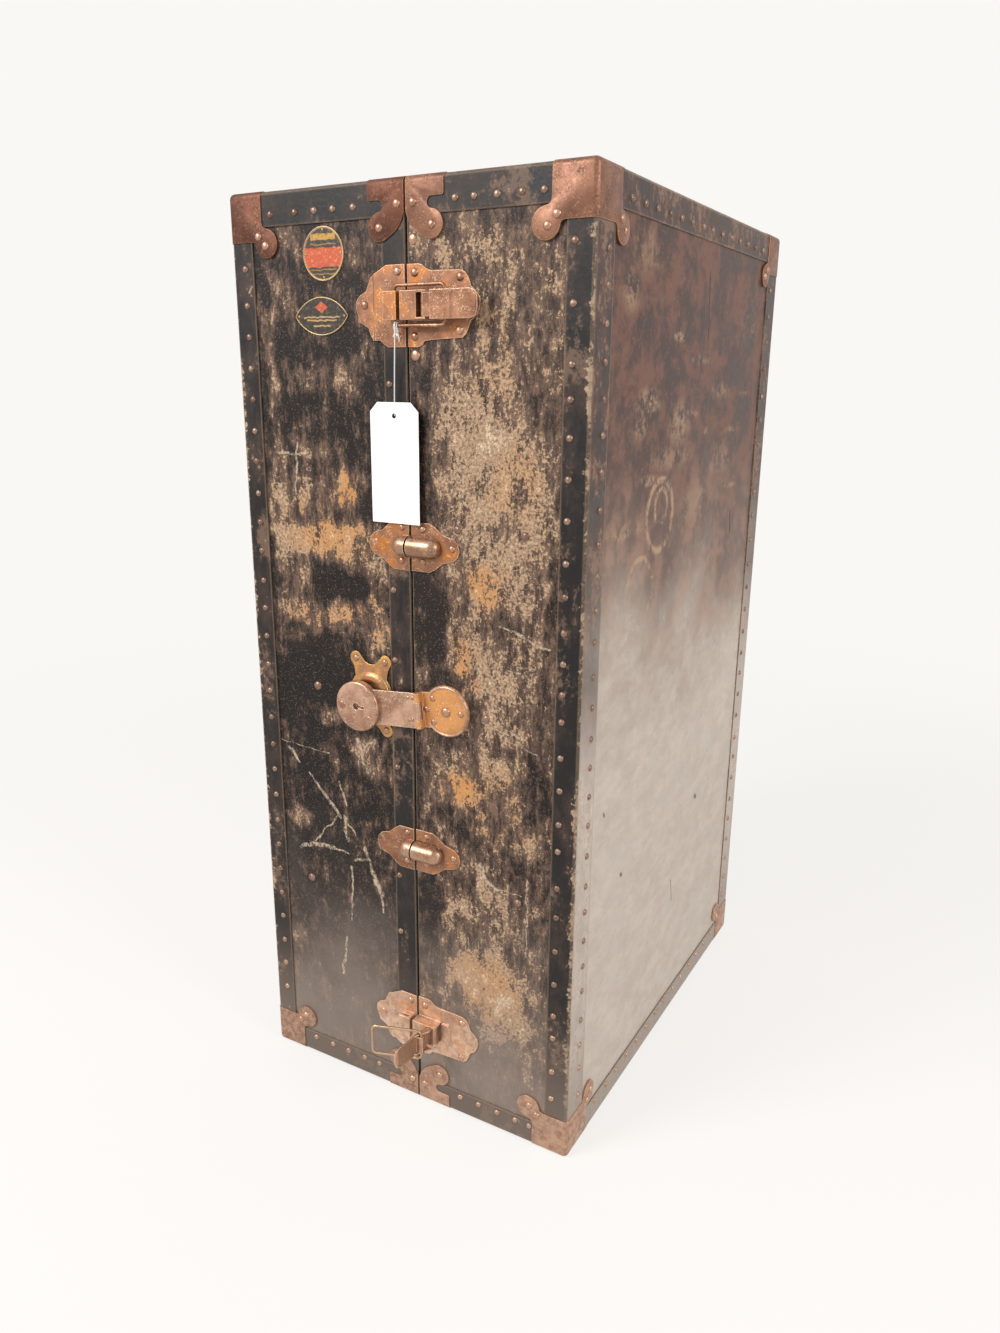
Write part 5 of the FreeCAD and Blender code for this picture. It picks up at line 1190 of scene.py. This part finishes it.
# %% Finish: drawer cloth and handle leather
cloth, tree, shader = new_finish("drawer_cloth", shine=0.2)
ribs, threads = (
    step(tree, "ShaderNodeTexWave", {"Vector": place_on_trunk(tree), "Scale": 260.0, "Distortion": 0.6},
         bands_direction=way).outputs["Fac"] for way in "YZ")
weave = times(tree, ribs, threads)
soil = limit(tree, mottle(tree, 0.09, detail=5, seed=101), 0.4, 0.7)
colour = blend(tree, soil, tone(84, 96, 104), tone(108, 114, 112))
colour = blend(tree, times(tree, weave, 0.4), colour, tone(140, 146, 146))
_, deep, high = split_place(tree)
levels = []
for drawer in DRAWERS:
    low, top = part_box(f"{drawer}_front")
    levels.append(limit(tree, far_from(tree, high, (low.z + top.z) / 2), 0.0096, 0.0092))
on_tab = times(tree, largest(tree, levels), limit(tree, maths(tree, "ABSOLUTE", deep), 0.0306, 0.0302))
colour = blend(tree, on_tab, colour, blend(tree, soil, tone(92, 60, 40), tone(126, 88, 60)))
lay(tree, shader, colour, 0.8, times(tree, weave, limit(tree, on_tab, 0.0, 1.0, 1.0, 0.2)), 0.0002)
dress(cloth, *[f"{drawer}_front" for drawer in DRAWERS])

leather, tree, shader = new_finish("handle_leather", shine=0.5)
creases = step(tree, "ShaderNodeTexVoronoi", {"Vector": place_on_trunk(tree), "Scale": 420.0},
               feature="DISTANCE_TO_EDGE").outputs["Distance"]
clouds = mottle(tree, 0.03, detail=5, seed=105)
colour = blend(tree, limit(tree, clouds, 0.35, 0.7), tone(58, 38, 28), tone(104, 72, 50))
colour = blend(tree, times(tree, edge_mask(tree, 0.002, clouds), 0.6), colour, tone(142, 108, 80))
height = limit(tree, creases, 0.0, 0.12)
lay(tree, shader, colour, limit(tree, clouds, 0.3, 0.7, 0.38, 0.6), height, 0.0003)
dress(leather, "carry_handle")
print("finishes in all:", len(bpy.data.materials))

# %% [markdown]
# Nails and rivets are real geometry, because each one catches its own light. One low dome is
# made by hand as rings of points, and copied to every place in a list into a single mesh. Each
# mesh rides on the body that its heads are driven into.

# %% Make heads for nails and rivets
HEAD_SIDES = 14
HEAD_FOOT = 0.0004
HEAD_RINGS = (0, 32, 60)


def dome(radius, rise):
    """Points and faces of one head: its foot a hair inside the surface, three rings and its crown."""
    levels = [(radius, -HEAD_FOOT)]
    levels += [(radius * math.cos(math.radians(up)), rise * math.sin(math.radians(up))) for up in HEAD_RINGS]
    points = [Vector((x, y, tall)) for wide, tall in levels for x, y in circle(wide, HEAD_SIDES)]
    points.append(Vector((0, 0, rise)))
    crown = len(points) - 1
    faces = []
    for ring in range(len(levels)):
        for number in range(HEAD_SIDES):
            a = ring * HEAD_SIDES + number
            b = ring * HEAD_SIDES + (number + 1) % HEAD_SIDES
            at_top = ring == len(levels) - 1
            faces.append((a, b, crown) if at_top else (a, b, b + HEAD_SIDES, a + HEAD_SIDES))
    return points, faces


def heads(name, body, finish, spots, radius, rise):
    """Domed heads at (place, outward normal) spots, as one piece."""
    head_points, head_faces = dome(radius, rise)
    points, faces = [], []
    for place, normal in spots:
        turn = Vector(normal).to_track_quat("Z", "Y")
        faces += [[len(points) + number for number in face] for face in head_faces]
        points += [Vector(place) + turn @ point for point in head_points]
    fit(from_points(name, points, faces), finish, body)
    print(name, "heads:", len(spots))


# %% [markdown]
# The nails of the bindings stand in rows about a thumb's width apart, by eye and not by rule.
# The front rows are written one by one, because people look there. The other rows are spaced by
# a pitch with a small seeded stagger.

# %% Set out the binding nails
import random

stagger = random.Random(7)
STAGGER = 2.2
binding_low, binding_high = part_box("right_bindings")
OUTER = {"left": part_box("left_bindings")[0].x, "right": binding_high.x}
OUT_FRONT, OUT_BACK, OUT_TOP = binding_low.y, binding_high.y, binding_high.z
OUTWARD = {"front": (0, -1, 0), "back": (0, 1, 0), "top": (0, 0, 1), "left": (-1, 0, 0), "right": (1, 0, 0)}
LEG_X = {"left": -203.5, "right": 176.5}
LEG = {"left": [943, 907, 876, 844, 812, 779, 747, 712, 680, 648, 614, 582, 549, 515, 483, 450, 416, 384,
                351, 317, 285, 252, 219, 186, 152, 119, 84],
       "right": [951, 900, 849, 819, 785, 748, 710, 670, 638, 603, 572, 541, 513, 475, 440, 403, 373,
                 331, 297, 257, 217, 178, 150, 107, 72]}
TOP_ROW = {"left": [-166, -134, -109, -86, -61], "right": [55, 75, 99, 124, 146]}
BOTTOM_ROW = {"left": [-159, -132, -107, -82, -59], "right": [58, 83, 108, 132, 150]}
SEAM_NAILS = (830, 623, 547, 424, 292, 220)
ROW_HIGH, ROW_LOW = 0.9930, 0.0240
EDGE_INSET, TOP_INSET = 0.0268, 0.0230
SEAM_INSET_FRONT, SEAM_INSET_TOP = 0.0225, 0.0215


def row(start, end, pitch):
    """Places from start to end at about the pitch, in millimetres."""
    count = round((end - start) / pitch)
    even = [start + (end - start) * number / count for number in range(count + 1)]
    return [place + stagger.uniform(-STAGGER, STAGGER) for place in even]


def up_row():
    return row(68, 948, 33)


def deep_row():
    return row(-212, 212, 33)


def short_row():
    return row(58, 145, 26)


def half_nails(side):
    """Spots of every binding nail of one half: front, side, back and top."""
    sign, outer, leg = SIGN[side], OUTER[side], SEAM + LEG_X[side] * MM
    spots = [((leg, OUT_FRONT, z * MM), OUTWARD["front"]) for z in LEG[side]]
    spots += [((SEAM + x * MM, OUT_FRONT, ROW_HIGH), OUTWARD["front"]) for x in TOP_ROW[side]]
    spots += [((SEAM + x * MM, OUT_FRONT, ROW_LOW), OUTWARD["front"]) for x in BOTTOM_ROW[side]]
    for y in (OUT_FRONT + EDGE_INSET, OUT_BACK - EDGE_INSET):
        spots += [((outer, y, z * MM), OUTWARD[side]) for z in up_row()]
    spots += [((leg, OUT_BACK, z * MM), OUTWARD["back"]) for z in up_row()]
    for z in (ROW_LOW, ROW_HIGH):
        spots += [((outer, y * MM, z), OUTWARD[side]) for y in deep_row()]
        spots += [((SEAM + sign * x * MM, OUT_BACK, z), OUTWARD["back"]) for x in short_row()]
    spots += [((outer - sign * TOP_INSET, y * MM, OUT_TOP), OUTWARD["top"]) for y in deep_row()]
    for y in (OUT_FRONT + TOP_INSET, OUT_BACK - TOP_INSET):
        spots += [((SEAM + sign * x * MM, y, OUT_TOP), OUTWARD["top"]) for x in short_row()]
    if side == "left":
        spots += [((SEAM - SEAM_INSET_FRONT, OUT_FRONT, z * MM), OUTWARD["front"]) for z in SEAM_NAILS]
        spots += [((SEAM - SEAM_INSET_TOP, y * MM, OUT_TOP), OUTWARD["top"]) for y in row(-225, 225, 75)]
    return spots


nail_steel = coppered("nail_steel", (60, 44, 38), (112, 84, 70), (150, 122, 104), (214, 190, 168),
                      metal=0.7, rough=(0.28, 0.5), seed=110.0)
for side in SIGN:
    nails = half_nails(side)
    heads(f"{side}_binding_nails", f"{side}_half", nail_steel, nails, 0.0036, 0.0021)

# %% [markdown]
# Caps and fittings are riveted. Each corner cap has two rivets in each lobe, on the line from
# the corner. The seam caps have one near the edge and one in the lobe.

# %% Set out the cap rivets
FRONT_LOBE, SEAM_LOBE, TOP_LOBE = ((39, 43), (48, 52)), ((9, 23.5), (30, 43.5)), ((39, 55), (48, 64))
SIDE_SHIFT = 13


def cap_spots(side):
    """Spots of the rivets of one half's caps, each pair set out in millimetres from its corner."""
    sign = SIGN[side]
    caps_low, caps_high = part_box(f"{side}_corner_caps")
    outer = caps_high.x if sign > 0 else caps_low.x
    spots = []
    for y, face, inward in ((caps_low.y, "front", 1), (caps_high.y, "back", -1)):
        for z, upward in ((caps_low.z, 1), (caps_high.z, -1)):
            for near, far in FRONT_LOBE:
                height = z + upward * far * MM
                spots.append(((outer - sign * near * MM, y, height), OUTWARD[face]))
                spots.append(((outer, y + inward * (near + SIDE_SHIFT) * MM, height), OUTWARD[side]))
            for near, far in SEAM_LOBE:
                spots.append(((SEAM + sign * near * MM, y, z + upward * far * MM), OUTWARD[face]))
        for near, far in TOP_LOBE:
            spots.append(((outer - sign * near * MM, y + inward * far * MM, caps_high.z), OUTWARD["top"]))
    return spots


rivet_copper = coppered("rivet_copper", (84, 54, 42), (150, 108, 88), (186, 146, 122), (236, 206, 178),
                        metal=0.8, rough=(0.25, 0.45), seed=120.0)
for side in SIGN:
    heads(f"{side}_cap_rivets", f"{side}_half", rivet_copper, cap_spots(side), 0.0042, 0.0022)

# %% [markdown]
# The fittings are held by big copper rivets, set out one by one. Every spot is in millimetres
# from the seam and above the floor, with the face of the plate that it goes through. The plates
# left of the seam lie on the binding strip, so the rivets nearest to the seam have another face.

# %% Rivet the fittings
PLATE, STRIP = PLATE_FACE, FRONT_Y - 0.0030
LATCHES = (904.0, 103.5)
LATCH_RIGHT = [(9.6, 27.7, PLATE), (60.4, 22.1, PLATE), (59.3, -24.6, PLATE), (8.9, -29.6, PLATE)]
LATCH_LEFT = [(-50, 0, PLATE), (-9.2, 29.3, STRIP), (-9.5, -29.2, STRIP)]
DOWEL_RIGHT = [(14.8, 18.5, PLATE), (50, 1.5, PLATE), (14.8, -14.5, PLATE)]
DOWEL_LEFT = [(-42.5, 2.5, PLATE), (-9.5, 19, STRIP), (-10.5, -15.5, STRIP)]
ANCHOR = [(25.4, 512.3), (60.4, 500.4), (26.9, 486.4), (17.9, 499.1)]
ARM_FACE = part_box("hasp_arm")[0].y + 0.0026
ARM = [(-1.1, 510.3), (4.7, 510.9), (0.5, 485.5), (4.7, 486.5)]
CASE_BUMPS = [(14.2, 17.9), (-20.1, -0.8), (15.7, -12.5)]
ROUND_PINS, OVAL_PINS = [(-22, 0), (22, 0), (0, 22), (0, -22)], [(-29, 0), (29, 0)]


def about(centre, spots, face):
    """Spots in millimetres about a centre in metres, as millimetres from the seam and the floor."""
    return [((centre[0] - SEAM) / MM + x, centre[1] / MM + z, face) for x, z in spots]


def at_each(heights, spots):
    return [(x, height + rise, face) for height in heights for x, rise, face in spots]


def front_heads(name, body, finish, spots, radius, rise):
    places = [((SEAM + x * MM, face, z * MM), OUTWARD["front"]) for x, z, face in spots]
    heads(name, body, finish, places, radius, rise)


ears = [(x, z) for x in (-EAR_X, EAR_X) for z in (-EAR_Z, EAR_Z)]
for name, body, spots, radius, rise in (
        ("right_latch_rivets", "right_half", at_each(LATCHES, LATCH_RIGHT), 0.0042, 0.0023),
        ("left_latch_rivets", "left_half", at_each(LATCHES, LATCH_LEFT), 0.0042, 0.0023),
        ("right_dowel_rivets", "right_half", at_each(DOWELS, DOWEL_RIGHT), 0.0036, 0.0019),
        ("left_dowel_rivets", "left_half", at_each(DOWELS, DOWEL_LEFT), 0.0036, 0.0019),
        ("lock_plate_rivets", "left_half", about((PLATE_X, PLATE_Z), ears, PLATE), 0.0040, 0.0021),
        ("anchor_rivets", "right_half", [(*place, ANCHOR_FACE) for place in ANCHOR], 0.0036, 0.0018),
        ("anchor_boss", "right_half", [(42.2, 499.8, ANCHOR_FACE)], 0.0056, 0.0030),
        ("arm_rivets", "hasp", [(*place, ARM_FACE) for place in ARM], 0.0024, 0.0010),
        ("case_bumps", "hasp", about((CASE_X, CASE_Z), CASE_BUMPS, CASE_FACE), 0.0046, 0.0009)):
    front_heads(name, body, rivet_copper, spots, radius, rise)
for name, centre, pins in (("round_badge_pins", ROUND, ROUND_PINS), ("oval_badge_pins", OVAL, OVAL_PINS)):
    spots = about(centre, pins, BADGE_FACE)
    front_heads(name, "left_half", badge_brass, spots, 0.0013, 0.0008)
front_heads("left_odd_nails", "left_half", nail_steel,
            [(x, z, FRONT_Y) for x, z in ((-132, 500), (-155, 252))], 0.0052, 0.0024)
front_heads("right_odd_nails", "right_half", nail_steel,
            [(x, z, FRONT_Y) for x, z in ((132, 692), (130, 300), (56, 692), (90, 500))], 0.0044, 0.0020)
front_heads("right_seam_rivets", "right_half", rivet_copper,
            [(7, 961, FRONT_Y), (8, 857, FRONT_Y)], 0.0054, 0.0018)

# %% [markdown]
# Three hinges join the cases at the back, and their leaves are riveted like the rest. Inside, two
# small rivets hold each leather tab to its drawer, and the carrying handle is sewn along both
# edges. A ray sent down on the handle finds the height at which each stitch lies.

# %% Rivet the hinges, tabs and handle
HINGES, LEAF = (150, 508, 866), [(14, 26), (23, 0), (14, -26)]
LEAF_BACK = -FRONT_Y + 0.0015
TAB_RIVET = 0.025
for side, sign in SIGN.items():
    spots = [((SEAM + sign * x * MM, LEAF_BACK, (height + rise) * MM), OUTWARD["back"])
             for height in HINGES for x, rise in LEAF]
    heads(f"{side}_hinge_rivets", f"{side}_half", nail_steel, spots, 0.0034, 0.0017)
for drawer in DRAWERS:
    low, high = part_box(f"{drawer}_front")
    spots = [((low.x, y, (low.z + high.z) / 2), OUTWARD["left"]) for y in (-TAB_RIVET, TAB_RIVET)]
    heads(f"{drawer}_tab_rivets", drawer, nickel, spots, 0.0032, 0.0014)

STITCH_INSET, STITCH_REACH, STITCH_GAPS = 0.0030, 0.072, 32
handle_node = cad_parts["carry_handle"]
handle_low, handle_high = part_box("carry_handle")
thread_points = []
for across in (handle_low.x + STITCH_INSET, handle_high.x - STITCH_INSET):
    for number in range(STITCH_GAPS + 1):
        along = -STITCH_REACH + 2 * STITCH_REACH * number / STITCH_GAPS
        hit, place, normal, _ = handle_node.ray_cast((across, along, handle_high.z + 0.01), (0, 0, -1))
        if hit:
            thread_points.append((tuple(place), tuple(normal)))
print("handle stitches:", len(thread_points))
linen, tree, shader = new_finish("handle_thread", shine=0.2)
colour = blend(tree, mottle(tree, 0.004, seed=150), tone(176, 150, 112), tone(206, 186, 150))
lay(tree, shader, colour, 0.8, mottle(tree, 0.0008, seed=151), 0.0001)
heads("handle_stitches", "left_half", linen, thread_points, 0.0011, 0.0005)

# %% [markdown]
# The string is tied by hand: it goes round the wire three times, is knotted under it, and two
# short ends are left. These are separate small cords of the same cotton, each a smooth spline
# along given points. The three turns share one route, with its own shift and lean each.

# %% Tie the string to the wire
WIRE_MID = Vector((0.00575, -0.2941, 0.8839))
TURNS = [(-1.6, 0.6), (0.1, -0.3), (1.7, 0.4)]


def tied(name, points):
    """A short cord, pulled a little thinner, through points in millimetres from the middle of the wire."""
    piece = spline(name, [WIRE_MID + Vector(point) * MM for point in points], STRING_WIDE * 0.9)
    piece.data.use_fill_caps = True
    piece.data.materials.append(cotton)
    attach(piece, "upper_bail")
    return piece


STRING_PIECES = [tied(f"string_turn_{number + 1}", [
    (x, 0.3, -4.8), (x, -2.7, -3.2), (x + tilt, -2.9, 1.2), (x + tilt, -1.2, 2.9), (x, 1.4, 2.8),
    (x - tilt, 2.9, 0.9), (x - tilt, 2.6, -2.8), (x, 0.4, -4.9)]) for number, (x, tilt) in enumerate(TURNS)]
STRING_PIECES.append(tied("string_knot", [
    (-1.6, -1.4, -5.2), (0.6, -2.2, -4.4), (2.2, -0.6, -5.4), (1.0, 1.2, -6.4), (-1.4, 0.8, -6.0),
    (-2.0, -1.2, -6.6), (0.2, -2.4, -7.2), (1.8, -1.0, -6.6), (0.6, 0.6, -5.2), (-0.6, -0.2, -7.6)]))
STRING_PIECES.append(tied("string_end_long", [
    (0.4, -1.2, -6.6), (2.4, -1.6, -8.0), (3.6, -1.0, -11.0), (3.0, -0.4, -14.5)]))
STRING_PIECES.append(tied("string_end_short", [(-0.4, -1.2, -6.4), (-2.6, -1.8, -7.6), (-3.0, -1.2, -10.5)]))
print("pieces on the string:", len(STRING_PIECES))
